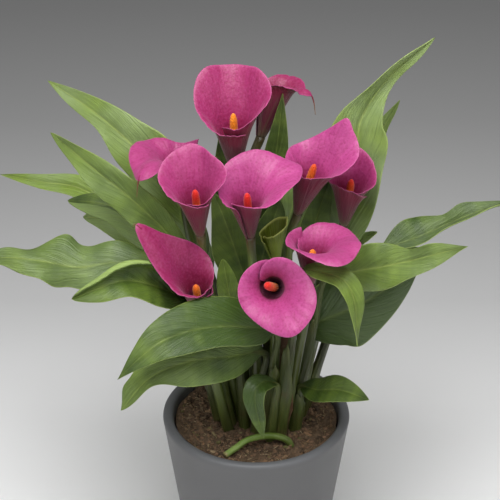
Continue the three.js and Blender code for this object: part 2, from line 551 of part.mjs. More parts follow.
const upWall = (z) => (z - POT.floor) / (POT.height - POT.floor);
const innerRadius = (z) => mix(POT.innerFoot, POT.rim - POT.lip, upWall(z));

function pot() {
  const { rim, foot, height, lip, bevel, floor, innerFoot, steps } = POT;
  const profile = [
    [0, 0], [foot - bevel, 0], [foot, bevel], [rim - 0.6, height - 5], [rim - 1.4, height - 1.8],
    [rim - 4, height - 0.2], [rim - lip + 3, height - 0.6], [rim - lip + 0.8, height - 2],
    [innerRadius(height - 6), height - 6], [innerFoot, floor], [0, floor],
  ].map(([x, y]) => new THREE.Vector2(x, y));
  return geometryOf(solidOf(new THREE.LatheGeometry(profile, steps).rotateX(Math.PI / 2)));
}

// The soil's surface: a low mound round the clump with small lumps all over.
function soilHeight(x, y) {
  const away = Math.hypot(x - CLUMP.x, y - CLUMP.y);
  const mound = SOIL.mound * Math.exp(-((away / SOIL.moundWidth) ** 2));
  const across = Math.sin(0.31 * x + 1.7 * Math.sin(0.13 * y));
  const along = Math.cos(0.27 * y - 1.3 * Math.sin(0.17 * x));
  return SOIL.top + mound + SOIL.grain * across * along;
}

function soil(holes) {
  const ringAt = (radius, height) =>
    Array.from({ length: SOIL.steps }, (_, k) => {
      const a = (2 * Math.PI * k) / SOIL.steps;
      const [x, y] = [radius * Math.cos(a), radius * Math.sin(a)];
      return v3([x, y, height ?? soilHeight(x, y)]);
    });
  const low = POT.floor + SOIL.gap;
  const rings = [ringAt(innerRadius(low) - SOIL.gap - SOIL.wall, low)];
  for (let i = SOIL.rings; i > 0; i--) {
    rings.push(ringAt(((innerRadius(SOIL.top - 2) - SOIL.gap - SOIL.wall) * i) / SOIL.rings));
  }
  const plug = pointedBody(rings, v3([0, 0, low]), v3([0, 0, soilHeight(0, 0)]));
  return geometryOf(solidOf(plug).subtract(wasm.Manifold.union(holes)));
}

// The whole plant

const all = [...BLOOMS, YOUNG_BLOOM];
const shootOf = (leaf) => leaf.shoot ?? leaf.name;
const shootNames = [...new Set(LEAVES.map(shootOf))];
const shootTops = shootNames.map((name) => {
  const tops = LEAVES.filter((leaf) => shootOf(leaf) === name).map((leaf) => v3(leaf.line[0]));
  return tops.reduce((sum, top) => sum.add(top), new THREE.Vector3()).divideScalar(tops.length).toArray();
});
const feet = plantFeet([...all.map(neckOf), ...shootTops]);
const flowerStalks = all.map((bloom, i) => flowerStalk(bloom, feet[i]));
const leafFeet = feet.slice(all.length);
const leafStalks = LEAVES.map((leaf) => leafStalk(leaf, leafFeet[shootNames.indexOf(shootOf(leaf))]));
const stalkMesh = (s) => stalk(s.curve, s.radius, s.sides, s.steps, s.to);
const oldCurve = curveThrough(OLD_STALK.line);
const oldStalk = {
  ...OLD_STALK, curve: oldCurve, radius: (w) => mix(OLD_STALK.foot, OLD_STALK.top, w), sides: 7, to: 1,
};

const plant = new THREE.Group();
plant.add(piece("pot", pot(), GREY));
const standing = [...flowerStalks, ...leafStalks, oldStalk];
plant.add(piece("soil", soil(standing.map(holeFor)), EARTH));
plant.add(piece("old_stalk", stalkMesh(oldStalk), STALK_GREEN));
BLOOMS.forEach((bloom, i) => {
  plant.add(piece("flower_stalk_" + bloom.name, flowerStalkMesh(bloom, flowerStalks[i]), STALK_GREEN));
  plant.add(piece("spathe_" + bloom.name, spathe(bloom), PINK));
  plant.add(piece("spadix_" + bloom.name, spadix(bloom), ORANGE));
});
const youngStalk = solidOf(flowerStalkMesh(YOUNG_BLOOM, flowerStalks.at(-1)));
plant.add(piece("young_bloom", geometryOf(solidOf(spathe(YOUNG_BLOOM)).add(youngStalk)), YOUNG_GREEN));

const leafSolids = LEAVES.map((leaf, i) => {
  const sheet = solidOf(blade(leaf, leafStalks[i].curve, leafStalks[i].start));
  return solidOf(stalkMesh(leafStalks[i])).add(sheet);
});
shootNames.forEach((name) => {
  const solids = leafSolids.filter((_, i) => shootOf(LEAVES[i]) === name);
  plant.add(piece(name, geometryOf(wasm.Manifold.union(solids)), GREEN));
});

export default plant;
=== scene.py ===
"""Potted calla lily: the detailed pieces that dress the plain solids of the part.

A grey pot full of soil carries a clump of long-stalked leaves, ten funnel blooms, a young green one
and an old stalk that lies across the soil. The tables below are in millimetres, as in the part;
every mesh is in metres. +Z is up and -Y is the front.
"""

import math
import random

import bmesh
import bpy
from mathutils import Euler, Matrix, Vector, noise


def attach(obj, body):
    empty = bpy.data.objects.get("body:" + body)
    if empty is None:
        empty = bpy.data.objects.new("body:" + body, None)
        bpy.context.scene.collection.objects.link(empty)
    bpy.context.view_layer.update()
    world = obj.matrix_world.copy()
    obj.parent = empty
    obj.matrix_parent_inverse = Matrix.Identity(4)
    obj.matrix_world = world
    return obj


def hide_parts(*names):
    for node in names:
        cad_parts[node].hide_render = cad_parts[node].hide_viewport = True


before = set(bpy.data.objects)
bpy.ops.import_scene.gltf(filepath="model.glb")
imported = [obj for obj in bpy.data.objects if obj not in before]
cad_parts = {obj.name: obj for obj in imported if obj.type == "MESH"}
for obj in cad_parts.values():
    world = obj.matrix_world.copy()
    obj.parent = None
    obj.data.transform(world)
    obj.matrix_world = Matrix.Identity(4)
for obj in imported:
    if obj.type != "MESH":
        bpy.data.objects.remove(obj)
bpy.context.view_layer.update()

bl_info = {
    "name": "Potted calla lily",
    "version": (1, 0, 0),
    "blender": (4, 5, 0),
    "location": "View3D > Sidebar > Calla",
    "description": "Builds the pot, soil, stalks, leaves and blooms of a potted calla lily",
    "category": "Object",
}

# A millimetre, and how near two points are joined, both in metres
MM = 0.001
WELD = 2e-6

# The part's own sizes, in millimetres
POT = dict(rim=95, foot=70, height=176, lip=11, floor=12, inner_foot=58)
SOIL = dict(top=167, mound=4, mound_width=50, grain=1.5, gap=0.5)
CLUMP = dict(x=5, y=0, focus=110, spacing=12, rounds=120, depth=16, knots=(0.38, 0.74))
BLADE = dict(
    shoulder=0.75, lag=1.9, rib=1.4, rib_reach=2.2, thick=1.0, margin=0.6, parts=6, start=3
)
WALL = dict(
    thick=1.0, foot=3.6, overlap=0.7, overlap_top=1.5, lean=15, opening=1.15, shortest=16,
    tip_width=13, rows=36, neck=30, seat=2.4,
)

# What the visual adds to them. A blade has pleats between its veins, a crimp along the margin, a
# slow swell and a groove over the middle rib. A spathe has a rolled rim, and sways and flutters
# where its wall is free. Depths are in millimetres, and along, across and around say how often a
# form comes. The numbers in NOISE set the noise of one piece apart from the next.
PLEAT = dict(depth=0.16, count=13, bend=0.3, curve=0.8, start=6, fade=4)
CRIMP = dict(depth=0.9, along=9, across=2, rise=6)
SWELL = dict(depth=1.6, along=3.2, across=1.3, seed=5.5, start=10)
GROOVE = dict(depth=0.55, reach=1.7)
RIM = dict(lean=22, start=0.9, reach=0.1, rows=(0.35, 0.1, 0), thick=0.75, thin=0.7)
FREE_WALL = dict(start=0.55, reach=0.45)
SWAY = dict(depth=2.4, around=1.7, along=1.5)
FLUTTER = dict(depth=0.9, around=7, along=2, seed=3)
NOISE = dict(shoot=1.7, leaf=11, bloom=3.1, young=50)
CLODS = dict(depth=1.9, size=11, detail=(0.9, 2.1, 4), seed=3)
GRIT = dict(depth=0.5, size=2.3, seed=8)

# Stalks, spikes and the dry thread of a spathe, and the sheaths: their radius at the foot and the
# top in millimetres, and the ridges, swellings and knobs on them. A start, run or end is a share of
# the length, but grow and bare are in millimetres along the spike, and a leaf's end is in spans of
# its line. A blade's start is in the same spans.
LEAF_STALK = dict(
    foot=5.4, top=3.0, sheath=1.5, sheath_run=0.16, groove=0.5, groove_turn=1.6, groove_reach=0.5,
    ridge=0.22, ridges=7, twist=2.5, tip=0.3, drop=2.6, drop_start=0.93, sides=28, steps=46,
    end=3.6,
)
FLOWER_STALK = dict(
    foot=5.4, top=4.1, spread=1.2, spread_run=0.12, swell=0.6, swell_start=0.92, swell_run=0.08,
    ridge=0.14, ridges=8, twist=3, sides=32, steps=56, seat=0.6,
)
SPIKE = dict(
    foot=1.8, top=3.6, grow=10, dome_start=0.8, dome_run=0.2, dome=2.4, knob=0.34, knobs=6,
    pitch=2.3, bare=4, smooth=0.6, thinnest=0.05, sides=30, steps=2.2,
)
THREAD = dict(
    start=0.3, stem=0.6, onward=(0.6, 0.5), droop=(0.4, 0.8), half=0.5, foot=1.0, end=0.25,
    taper=0.6, sides=8, steps=12,
)
SHEATH = dict(
    steps=30, rows=26, spread=105, start=12, point=0.55, curve=1.5, tear=7, tears=4, foot=7.5,
    top=6, skew=0.4, bend=4, gape=(0.4, 1), ripple=0.7, ripples=(3, 4), seed=9, thick=0.4,
    green_top=0.7,
)

# The pot's outline at the foot, as distance in from it and height, and at the lip, as distance in
# from the rim and down from the top
FOOT_OUTLINE = ((9, 2.5), (8, 0), (2, 0), (0.6, 0.5), (0, 2))
LIP_OUTLINE = (
    (1.2, 8), (0.5, 4), (0.9, 2), (2.2, 0.6), (4, 0), (7, 0.1), (9, 0.8), (10.4, 2.2), (11.2, 5),
    (12.6, 16),
)

# The bed of soil, which is smoother near the pot, and what is strewn over it: how far out, how
# clear of the stalks, the lean and turn of a grain, how rough it is, and the grains made at a time
BED = dict(
    rings=74, turns=220, smooth=0.6, smooth_start=74, smooth_reach=8, clear=2, lift=0.3,
    corners=((0.1, 3), (-2, 0)),
)
STREWN = dict(
    reach=0.965, clear=8, lean=0.4, turn=6.3, rough=0.8, pattern=700, apart=50, batch=40
)

# The grains: their size is drawn between two, and a high rarity makes the large ones rare
CRUMB = dict(size=(0.6, 2.7), rarity=3, long=(0.8, 1.3), high=(0.6, 0.9))
CHIP = dict(size=(1.2, 4.2), rarity=1.6, wide=(0.25, 0.6), thick=0.5)
FIBRE = dict(size=(2, 9), rarity=1.5, thick=0.3, end=0.6, sides=5)

# Each leaf has the middle line of its blade from the stalk to the tip, its full width, and the way
# its upper face looks along that line. fold and curl are in degrees at the stalk and at the tip:
# fold lifts a half of the blade from the middle line, and curl bends it on towards the margin. wave
# is the height, number and phase of the ripples along the margins. A bulge makes one half wider, or
# narrower: it has the half, -1 or 1, the share of the blade's length where it is, the share of the
# width that it adds, and its reach. Two leaves of one shoot share a node. A row leaves out what is
# usual.
LEAF_USUAL = dict(
    belly=0.45, face=[[0, -0.9, 0.3]] * 2, fold=[20, 20], curl=[0, 0], wave=[1, 2, 0]
)
LEAF_ROWS = [
    dict(name="leaf_left_high", width=52, belly=0.42, fold=[15, 10], curl=[-10, 0],
        wave=[4, 3, 0.35], face=[[-0.5, -0.75, 0.4], [-0.3, -0.8, 0.5]], bulge=[[1, 0.5, 0.35, 0.1],
        [-1, 0.72, -0.35, 0.12]], line=[[-50, 50, 326], [-70, 58, 370], [-96, 72, 408],
        [-127, 84, 440], [-163, 94, 469], [-204, 104, 495]]),
    dict(name="leaf_left_middle", width=37, fold=[18, 15], wave=[2.5, 3, 0.3],
        face=[[-0.4, -0.8, 0.5], [-0.3, -0.85, 0.4]], line=[[-62, 0, 346], [-84, 4, 378],
        [-119, 10, 414], [-151, 18, 439], [-195, 30, 475]]),
    dict(name="leaf_left_long", width=30, belly=0.42, fold=[22, 18], wave=[2, 2, 0],
        face=[[-0.3, -0.6, 0.8], [0, -0.7, 0.7]], line=[[-66, 40, 326], [-104, 52, 350],
        [-143, 62, 378], [-177, 72, 394], [-213, 80, 396], [-255, 88, 400]]),
    dict(name="leaf_left_dark", width=36, belly=0.5, fold=[-60, -50], fold_right=[5, 5],
        face=[[-0.2, -0.3, 1], [0, -0.2, 1]], line=[[-78, 20, 336], [-107, 30, 365],
        [-134, 38, 388], [-160, 46, 392], [-185, 52, 390]]),
    dict(name="leaf_left_back", shoot="leaves_left_back", width=36, belly=0.5, fold=[10, 10],
        wave=[2, 2, 0], face=[[-0.3, -0.7, 0.7], [0, -0.7, 0.7]], line=[[-66, 66, 294],
        [-98, 76, 319], [-129, 86, 338], [-154, 94, 346], [-176, 100, 345]]),
    dict(name="leaf_left_low", width=50, belly=0.48, fold=[5, 0], curl=[-30, -40],
        wave=[6, 4, 0.45], face=[[-0.2, -0.5, 0.9], [0, -0.6, 0.8], [0.1, -0.3, 1]],
        bulge=[[1, 0.61, 0.6, 0.09], [-1, 0.57, -0.3, 0.05], [-1, 0.86, -0.5, 0.09]],
        line=[[-65, -5, 320], [-97, -12, 352], [-135, -18, 361], [-170, -24, 359], [-207, -28, 369],
        [-242, -32, 374], [-266, -36, 364]]),
    dict(name="leaf_left_curled", width=44, belly=0.5, fold=[5, 5], curl=[-20, -20],
        fold_right=[5, 40], curl_right=[95, 190], wave=[2, 2, 0], face=[[-0.2, -0.4, 0.9],
        [0, -0.4, 0.9]], bulge=[[1, 0.62, 0.5, 0.16]], line=[[-55, -18, 309], [-87, -38, 343],
        [-121, -58, 365], [-148, -72, 364], [-171, -82, 359]]),
    dict(name="leaf_front_big", width=62, belly=0.38, fold=[10, 10], curl=[-20, -20],
        wave=[1.5, 1, 0], face=[[-0.2, -0.7, 0.7], [-0.3, -0.7, 0.7]],
        bulge=[[-1, 0.35, -0.35, 0.3]], line=[[18, -48, 300], [-16, -70, 321.3], [-53, -91, 332.3],
        [-85, -108, 331], [-107, -119, 319], [-128, -129, 301]]),
    dict(name="leaf_front_left", width=50, fold=[5, 5], curl=[-20, -20], wave=[4, 2, 0.6],
        face=[[-0.1, -0.8, 0.5], [-0.3, -0.8, 0.5]], bulge=[[-1, 0.8, -0.5, 0.16],
        [1, 0.92, 0.6, 0.06]], line=[[8, -33, 267], [-27, -60, 281], [-65, -84, 291],
        [-100, -104, 286], [-127, -118, 259]]),
    dict(name="leaf_front_small", width=23, belly=0.42, fold=[10, 10], curl=[-10, 0],
        wave=[1.5, 2, 0], face=[[0, -0.4, 1], [-0.5, -0.8, 0.5], [0, -1, 0.1]],
        line=[[20, -48, 240], [10, -61, 254], [0, -73, 254], [-1, -82, 238], [7, -84, 202]]),
    dict(name="leaf_front_right", width=30, fold=[10, 10], curl=[-10, -10],
        face=[[0, -0.6, 0.8]] * 2, line=[[44, -20, 219], [60, -38, 228], [81, -56, 240],
        [108, -76, 242]]),
    dict(name="leaf_right_low", width=70, belly=0.38, fold=[5, 5], curl=[-20, -20], wave=[2, 2, 0],
        face=[[0, -1, 0.2]] * 2, bulge=[[1, 0.32, 0.22, 0.13]], line=[[39, 2, 268], [67, -9, 291],
        [99, -18, 313], [131, -24, 340], [157, -28, 367]]),
    dict(name="leaf_right_front", width=46, belly=0.4, fold=[15, 15], curl=[-20, 0],
        wave=[4, 2.5, 0.4], face=[[0, -0.7, 0.7]] * 2, bulge=[[-1, 0.66, -0.45, 0.12]],
        line=[[66, -14, 340], [94, -28, 357], [121, -42, 371], [147, -52, 384], [171, -60, 396],
        [194, -66, 406]]),
    dict(name="leaf_front_hanging", width=24, belly=0.4, fold=[10, 10], face=[[0, -0.2, 1],
        [0.3, -0.6, 0.7], [0.9, -0.5, 0.2]], line=[[41, -64, 376], [58, -76, 385], [80, -89, 383],
        [90, -98, 362], [93, -104, 321]]),
    dict(name="leaf_right_long", width=42, belly=0.42, fold=[10, 5], fold_right=[25, 55],
        curl_right=[30, 30], wave=[4, 3, 0.2], face=[[0, -0.6, 0.8]] * 2,
        bulge=[[-1, 0.2, -0.7, 0.12], [-1, 0.62, -0.45, 0.08]], line=[[92, 14, 330], [129, 28, 350],
        [161, 38, 358], [195, 46, 371], [229, 52, 382], [253, 56, 386]]),
    dict(name="leaf_right_dark", width=22, fold=[10, 10], wave=[2, 2, 0], face=[[0, -0.6, 0.8]] * 2,
        line=[[88, 30, 315], [112, 46, 322], [138, 58, 324], [158, 68, 323], [174, 76, 322]]),
    dict(name="leaf_right_high", width=60, belly=0.4, fold=[15, 40], curl=[-10, 0], wave=[4, 3, 0],
        face=[[-0.1, -0.9, 0.3], [-0.1, -0.9, 0.3], [0.5, -0.8, 0]], bulge=[[-1, 0.48, 0.3, 0.08],
        [-1, 0.7, -0.3, 0.1], [1, 0.52, 0.2, 0.08], [1, 0.74, -0.5, 0.14]], line=[[78, 58, 313],
        [88, 63, 361], [94, 68, 404], [98, 76, 440], [104, 84, 468], [130, 98, 502],
        [173, 112, 537]]),
    dict(name="leaf_right_back", shoot="leaves_right_back", width=36, belly=0.42, fold=[15, 15],
        wave=[2, 2, 0], face=[[-0.1, -0.9, 0.3]] * 2, bulge=[[1, 0.84, -0.5, 0.12]],
        line=[[80, 84, 302], [96, 98, 360], [114, 112, 412], [143, 126, 464]]),
    dict(name="leaf_top", width=28, belly=0.4, line=[[11, 44, 359], [13, 50, 403], [20, 56, 449],
        [25, 62, 501]]),
    dict(name="leaf_top_left", width=22, belly=0.4, line=[[-26, 46, 355], [-32, 56, 399],
        [-37, 66, 451]]),
    dict(name="leaf_right_rolled", width=18, belly=0.5, fold=[30, 30], face=[[0, -0.6, 0.8]] * 2,
        line=[[62, 66, 304], [88, 76, 321], [122, 80, 339]]),
    dict(name="leaf_middle_right", width=28, line=[[48, 42, 326], [58, 52, 366], [72, 62, 408]]),
    dict(name="leaf_middle_left", width=28, belly=0.5, bulge=[[-1, 0.4, 0.7, 0.3]],
        line=[[-6, 0, 312], [-18, 9, 350], [-31, 21, 386], [-42, 28, 412]]),
    dict(name="leaf_front_upright", width=22, belly=0.5, line=[[-21, -22, 301], [-27, -26, 335],
        [-32, -24, 368]]),
    dict(name="leaf_middle", width=32, belly=0.5, line=[[2, 21, 322], [12, 34, 360],
        [23, 44, 395]]),
    dict(name="leaf_back_far_left", shoot="leaves_left_back", width=46, fold=[12, 12],
        curl=[-20, -20], wave=[4, 2, 0], face=[[-0.3, 0.4, 1], [-0.2, 0.3, 1]],
        line=[[-46, 82, 290], [-74, 118, 326], [-98, 150, 338], [-116, 178, 330],
        [-126, 200, 308]]),
    dict(name="leaf_back_left", shoot="leaves_back", width=52, fold=[12, 12], curl=[-20, -20],
        wave=[4, 2, 0], face=[[-0.1, 0.4, 1], [0, 0.6, 1]], line=[[-6, 66, 306], [-14, 98, 346],
        [-24, 134, 358], [-34, 170, 346], [-42, 198, 318]]),
    dict(name="leaf_back_right", shoot="leaves_back", width=50, fold=[12, 12], curl=[-20, -20],
        wave=[4, 2, 0.3], face=[[0.1, 0.4, 1], [0.1, 0.6, 1]], line=[[22, 70, 304], [34, 104, 344],
        [46, 140, 354], [58, 174, 338], [68, 200, 306]]),
    dict(name="leaf_back_far_right", shoot="leaves_right_back", width=42, fold=[12, 12],
        curl=[-20, -20], wave=[4, 2, 0.6], face=[[0.1, 0.4, 1], [0.2, 0.4, 1]], line=[[66, 90, 288],
        [82, 124, 328], [96, 154, 338], [106, 180, 328], [112, 200, 304]]),
]
LEAVES = [LEAF_USUAL | row for row in LEAF_ROWS]

# How much painted light each leaf's green has at its foot and at its tip, from 0 in the shade to 1
# in full light, how waxy its bloom is, and how much more painted light its lower face gets. A short
# row ends as is usual.
PAINTED_LIGHT_USUAL = (0.4, 0.6, 0.3, 0.2)
PAINTED_LEAF_LIGHT = dict(
    leaf_left_high=(0.6, 1, 0.8), leaf_left_middle=(0.3, 0.7, 0.2), leaf_left_long=(1, 1.5, 1.3),
    leaf_left_dark=(0, 0.3, 0.2), leaf_left_back=(1, 1.3, 0.9), leaf_left_low=(0.1, 0.5, 0.4),
    leaf_left_curled=(0, 0.4, 0, 1), leaf_front_big=(-0.4, 0.35, 0),
    leaf_front_left=(0.1, 0.6, 0.2), leaf_front_small=(-0.9, 0.45, 0),
    leaf_front_right=(0, 0.35, 0.05), leaf_right_low=(-0.5, -0.1, 0),
    leaf_right_front=(0.2, 0.75, 0.35), leaf_front_hanging=(0.6, 0.8, 0.2),
    leaf_right_long=(0, 0.3, 0.6), leaf_right_dark=(0, 0.2, 0.1),
    leaf_right_high=(0.5, 0.95, 0.8), leaf_right_back=(0.4, 0.6, 0.4), leaf_top=(0.1, 0.35, 0.1),
    leaf_top_left=(0.1, 0.3, 0.1), leaf_right_rolled=(0.4, 0.7, 0.5),
    leaf_middle_right=(0, 0.3, 0.1), leaf_middle_left=(0.1, 0.5, 0.05),
    leaf_front_upright=(0.2, 0.8, 0), leaf_middle=(0, 0.2, 0.05),
)

# The directions, in degrees round the mouth from the back, at which a spathe's wall is measured
STOPS = [-212, -150, -90, -45, 0, 45, 90, 150, 212]

# Each bloom has the foot of its spathe, the tube's direction and the side that its tip is on.
# reach is the wall's length from the foot to the margin and flare the margin's lean from the tube,
# at each stop. hand is 1 where the margin that wraps over the other comes round from the left.
BLOOMS = [
    dict(name="01", base=[-20, 30, 433], axis=[-0.03, -0.12, 1],
        back=[0.05, 1, 0], hand=1, tube=42, tip=2,
        spadix=66, reach=[63, 68, 90, 103, 102, 104, 82, 60, 58],
        flare=[18, 22, 39, 28, 42, 38, 48, 40, 36]),
    dict(name="02", base=[4, 66, 452], axis=[0.32, 0.3, 1],
        back=[1, -0.35, 0], hand=1, tube=50, tip=15,
        spadix=50, reach=[46, 52, 56, 68, 62, 68, 68, 54, 50],
        flare=[20, 32, 66, 100, 140, 60, 56, 38, 34]),
    dict(name="03", base=[-70, 38, 399], axis=[-0.1, 0, 1],
        back=[-0.6, -0.8, 0], hand=-1, tube=36, tip=12,
        spadix=44, reach=[42, 52, 62, 84, 86, 82, 70, 54, 62],
        flare=[18, 30, 45, 60, 140, 95, 75, 44, 12]),
    dict(name="04", base=[-53, -22, 394], axis=[-0.08, -0.2, 1],
        back=[-0.05, 1, 0], hand=1, tube=36, tip=2,
        spadix=54, reach=[52, 54, 75, 82, 86, 82, 73, 60, 53],
        flare=[18, 30, 43, 18, 44, 40, 47, 32, 36]),
    dict(name="05", base=[-6, -19, 388.9], axis=[-0.06, -0.2, 1],
        back=[0.85, 0.5, 0], hand=1, tube=36, tip=8,
        spadix=54, reach=[44, 58, 68, 82, 88, 86, 76, 62, 58],
        flare=[20, 34, 60, 74, 116, 54, 50, 38, 34]),
    dict(name="06", base=[40, 24, 391.2], axis=[0.25, -0.2, 1],
        back=[0.62, 0.78, 0], hand=1, tube=40, tip=7,
        spadix=62, reach=[54, 66, 80, 93, 101, 76, 68, 62, 64],
        flare=[18, 28, 37, 39, 15, 50, 62, 36, 24]),
    dict(name="07", base=[86, 46, 367.4], axis=[0.1, -0.2, 1],
        back=[-0.1, 1, 0], hand=1, tube=38, tip=3,
        spadix=56, reach=[54, 56, 65, 74, 80, 80, 66, 64, 56],
        flare=[18, 26, 33, 25, 45, 48, 50, 20, 42]),
    dict(name="08", base=[-54, -34, 312], axis=[-0.08, -0.3, 0.95],
        back=[-1, 0.4, 0.1], hand=-1, tube=36, tip=22,
        spadix=43, reach=[42, 50, 60, 66, 100, 84, 64, 42, 46],
        flare=[20, 34, 52, 44, 42, 22, 58, 34, 36]),
    dict(name="09", base=[50, -46, 354], axis=[0.05, -0.12, 1],
        back=[0.9, -0.4, 0], hand=-1, tube=34, tip=3,
        spadix=40, reach=[42, 50, 64, 70, 79, 90, 71, 58, 55],
        flare=[24, 36, 84, 92, 90, 105, 68, 52, 24]),
    dict(name="10", base=[18, -38, 346], axis=[-0.1, -0.87, 0.5],
        back=[0.5, -0.3, -1], hand=-1, tube=34, tip=3,
        spadix=46, reach=[42, 62, 68, 82, 84, 67, 62, 58, 52],
        flare=[35, 60, 82, 85, 85, 82, 82, 66, 66]),
]
YOUNG_BLOOM = dict(
    name="young", base=[19, 6, 348], axis=[-0.12, 0.05, 1], back=[1, 0.3, 0], hand=1, tube=26,
    tip=2, reach=[28, 32, 36, 40, 44, 42, 36, 30, 26], flare=[8, 8, 12, 18, 22, 18, 12, 8, 8],
)

# How pale the pink of each bloom is, from 0 to 1, how far the dark of its throat comes out, and how
# quickly it turns pink. A short row ends as is usual.
PINK_USUAL = (0.5, 0, 1)
PINKS = {
    "01": (0.15, 0), "02": (0, 0), "03": (0.6, 0), "04": (0.5, 0.05), "05": (0.95, 0),
    "06": (1, 0), "07": (0.5, 0.1), "08": (0, 0.1), "09": (0.75, 0), "10": (0.9, 7.5, 9),
}

# How red each spadix is, from 0, orange yellow, to 1, deep red
REDNESS = {
    "01": 0.15, "02": 0.4, "03": 0.5, "04": 0.75, "05": 0.85, "06": 0.5, "07": 0.6, "08": 0.35,
    "09": 0.3, "10": 0.65,
}

# The radius of a spadix that is thicker than usual, and how far the tip of one leans
SPIKE_SIZE = {"10": 3.9}
SPIKE_LEAN = {"10": (-5, 0, 2.5)}

# The length in millimetres of the thread at the tip of the spathe
THREADS = {"02": 15, "03": 13, "08": 6}

OLD_STALK = dict(
    line=[[38, -47, 156], [30, -49, 175], [12, -50, 181], [-8, -54, 179], [-20, -62, 175],
        [-31, -71, 172.5]],
    foot=3.6, top=3.0, wrinkles=((0.05, 4, 11), (0.03, 9, -20)), sides=16, steps=50,
)

# The stalks that have a sheath round their foot, papery or green: its height, turn and gape
SHEATHS = [
    dict(stalk="flower_stalk_05", height=62, turn=215, gape=4),
    dict(stalk="flower_stalk_09", height=84, turn=330, gape=3),
    dict(stalk="leaf_right_low", height=46, turn=250, gape=4),
    dict(stalk="flower_stalk_06", height=96, turn=250, gape=3),
    dict(stalk="leaves_back", height=66, turn=60, gape=4),
    dict(stalk="flower_stalk_07", height=80, turn=20, gape=4),
    dict(stalk="leaf_front_left", height=74, turn=285, gape=2, green=True),
    dict(stalk="leaf_left_curled", height=98, turn=255, gape=3, green=True),
    dict(stalk="leaf_front_big", height=88, turn=250, gape=3, green=True),
    dict(stalk="leaf_right_front", height=92, turn=290, gape=3, green=True),
    dict(stalk="leaf_left_low", height=82, turn=270, gape=3, green=True),
    dict(stalk="leaf_front_right", height=70, turn=270, gape=2, green=True),
    dict(stalk="flower_stalk_10", height=66, turn=260, gape=2, green=True),
    dict(stalk="leaf_front_hanging", height=84, turn=300, gape=2, green=True),
]

# Where the photograph was taken from, in metres and degrees, and its focal length in pixels; the
# floor; and the lights, with their place, size and the setting for their power
CAMERA = dict(target=(-0.0063, 0, 0.364), away=1.7, pitch=30, focal=1768.6, pixels=500, sensor=36)
FLOOR = dict(size=9, segments=8)
LIGHT_AIM = (0, 0, 0.32)
LIGHTS = dict(
    key_light=((-0.05, -0.45, 1.55), 1.1, "key"), left_light=((-1.4, -1.2, 0.9), 1.0, "fill"),
    right_light=((1.4, -1.2, 0.9), 1.0, "fill"),
)

# Colours of small things: the brown foot of a stalk, its marks, the collar under a bloom and so
# on. LIP_LINE is the height in metres where the pot's lip starts, and how sharply.
# The lip's paler, bluer colour is a painted reflection of the bright surroundings
LIP_LINE = dict(start=0.1715, sharp=260)
TINTS = dict(
    leaf_foot=(0.2, 0.16, 0.06), flower_foot=(0.2, 0.15, 0.06), blotch=(0.12, 0.05, 0.02),
    collar=(0.16, 0.1, 0.04), collar_top=(0.1, 0.02, 0.02), old_pale=(0.25, 0.33, 0.1),
    old_streak=(0.05, 0.07, 0.012), paper_fibre=(0.1, 0.05, 0.02), paper_pale=(0.26, 0.19, 0.1),
    tube_foot=(0.14, 0.12, 0.05), tube_stripe=(0.17, 0.17, 0.08), young_edge=(0.7, 0.74, 0.2),
    thread_brown=(0.2, 0.1, 0.05), thread_end=(0.3, 0.17, 0.08), thread_grain=(0.08, 0.03, 0.02),
    pollen=(1.0, 0.55, 0.08), between=(0.4, 0.02, 0.003), moss=(0.07, 0.075, 0.02),
    green_crumb=(0.09, 0.1, 0.03), pale_bark=(0.4, 0.3, 0.17), green_bark=(0.13, 0.15, 0.04),
    straw=(0.3, 0.22, 0.12), pale_straw=(0.5, 0.4, 0.24),
)
OLD_STALK_RUN = (
    (0, (0.05, 0.06, 0.015)), (0.35, (0.09, 0.14, 0.02)), (0.7, (0.17, 0.27, 0.05)),
    (0.96, (0.2, 0.3, 0.07)), (1, (0.28, 0.22, 0.1)),
)
PAPER_RUN = ((0, (0.07, 0.065, 0.025)), (0.5, (0.1, 0.065, 0.03)), (1, (0.19, 0.095, 0.055)))
# The floor's painted shade for light falling off towards the back: share of the way back, and
# strength of the floor colour there
FLOOR_PAINTED_SHADE = (
    (0.05, 1), (0.135, 0.88), (0.25, 0.64), (0.32, 0.575), (0.52, 0.43), (0.75, 0.355), (1, 0.33)
)


# Sizes and colours that a user would change


def colour_setting(name, description, default):
    return bpy.props.FloatVectorProperty(
        name=name, description=description, subtype="COLOR", size=3, min=0, max=1, default=default
    )


def count_setting(name, description, default, low, high):
    return bpy.props.IntProperty(
        name=name, description=description, default=default, min=low, max=high
    )


class PotSettings(bpy.types.PropertyGroup):
    """The pot's finish."""

    wall: colour_setting("Wall", "Colour of the pot", (0.113, 0.113, 0.115))
    # Paler and bluer than the wall: a painted reflection on the rounded lip
    lip: colour_setting("Lip", "Colour of the rounded lip", (0.125, 0.129, 0.137))
    grain: bpy.props.FloatProperty(
        name="Grain", description="Depth of the fine grain of the wall", default=0.00006, min=0,
        max=0.001, unit="LENGTH", precision=5,
    )
    segments: count_setting("Segments", "Steps round the pot", 144, 24, 256)


class SoilSettings(bpy.types.PropertyGroup):
    """The soil and what lies on it."""

    earth: colour_setting("Earth", "Colour of the damp soil", (0.135, 0.088, 0.052))
    crumb: colour_setting("Crumb", "Colour of the dry crumbs", (0.2, 0.115, 0.068))
    bark: colour_setting("Bark", "Colour of the bark chips", (0.3, 0.17, 0.09))
    crumbs: count_setting("Crumbs", "Number of crumbs", 2200, 0, 3000)
    chips: count_setting("Chips", "Number of bark chips", 170, 0, 800)
    fibres: count_setting("Fibres", "Number of loose fibres", 380, 0, 500)
    seed: count_setting("Seed", "Seed of the scatter", 7, 0, 9999)


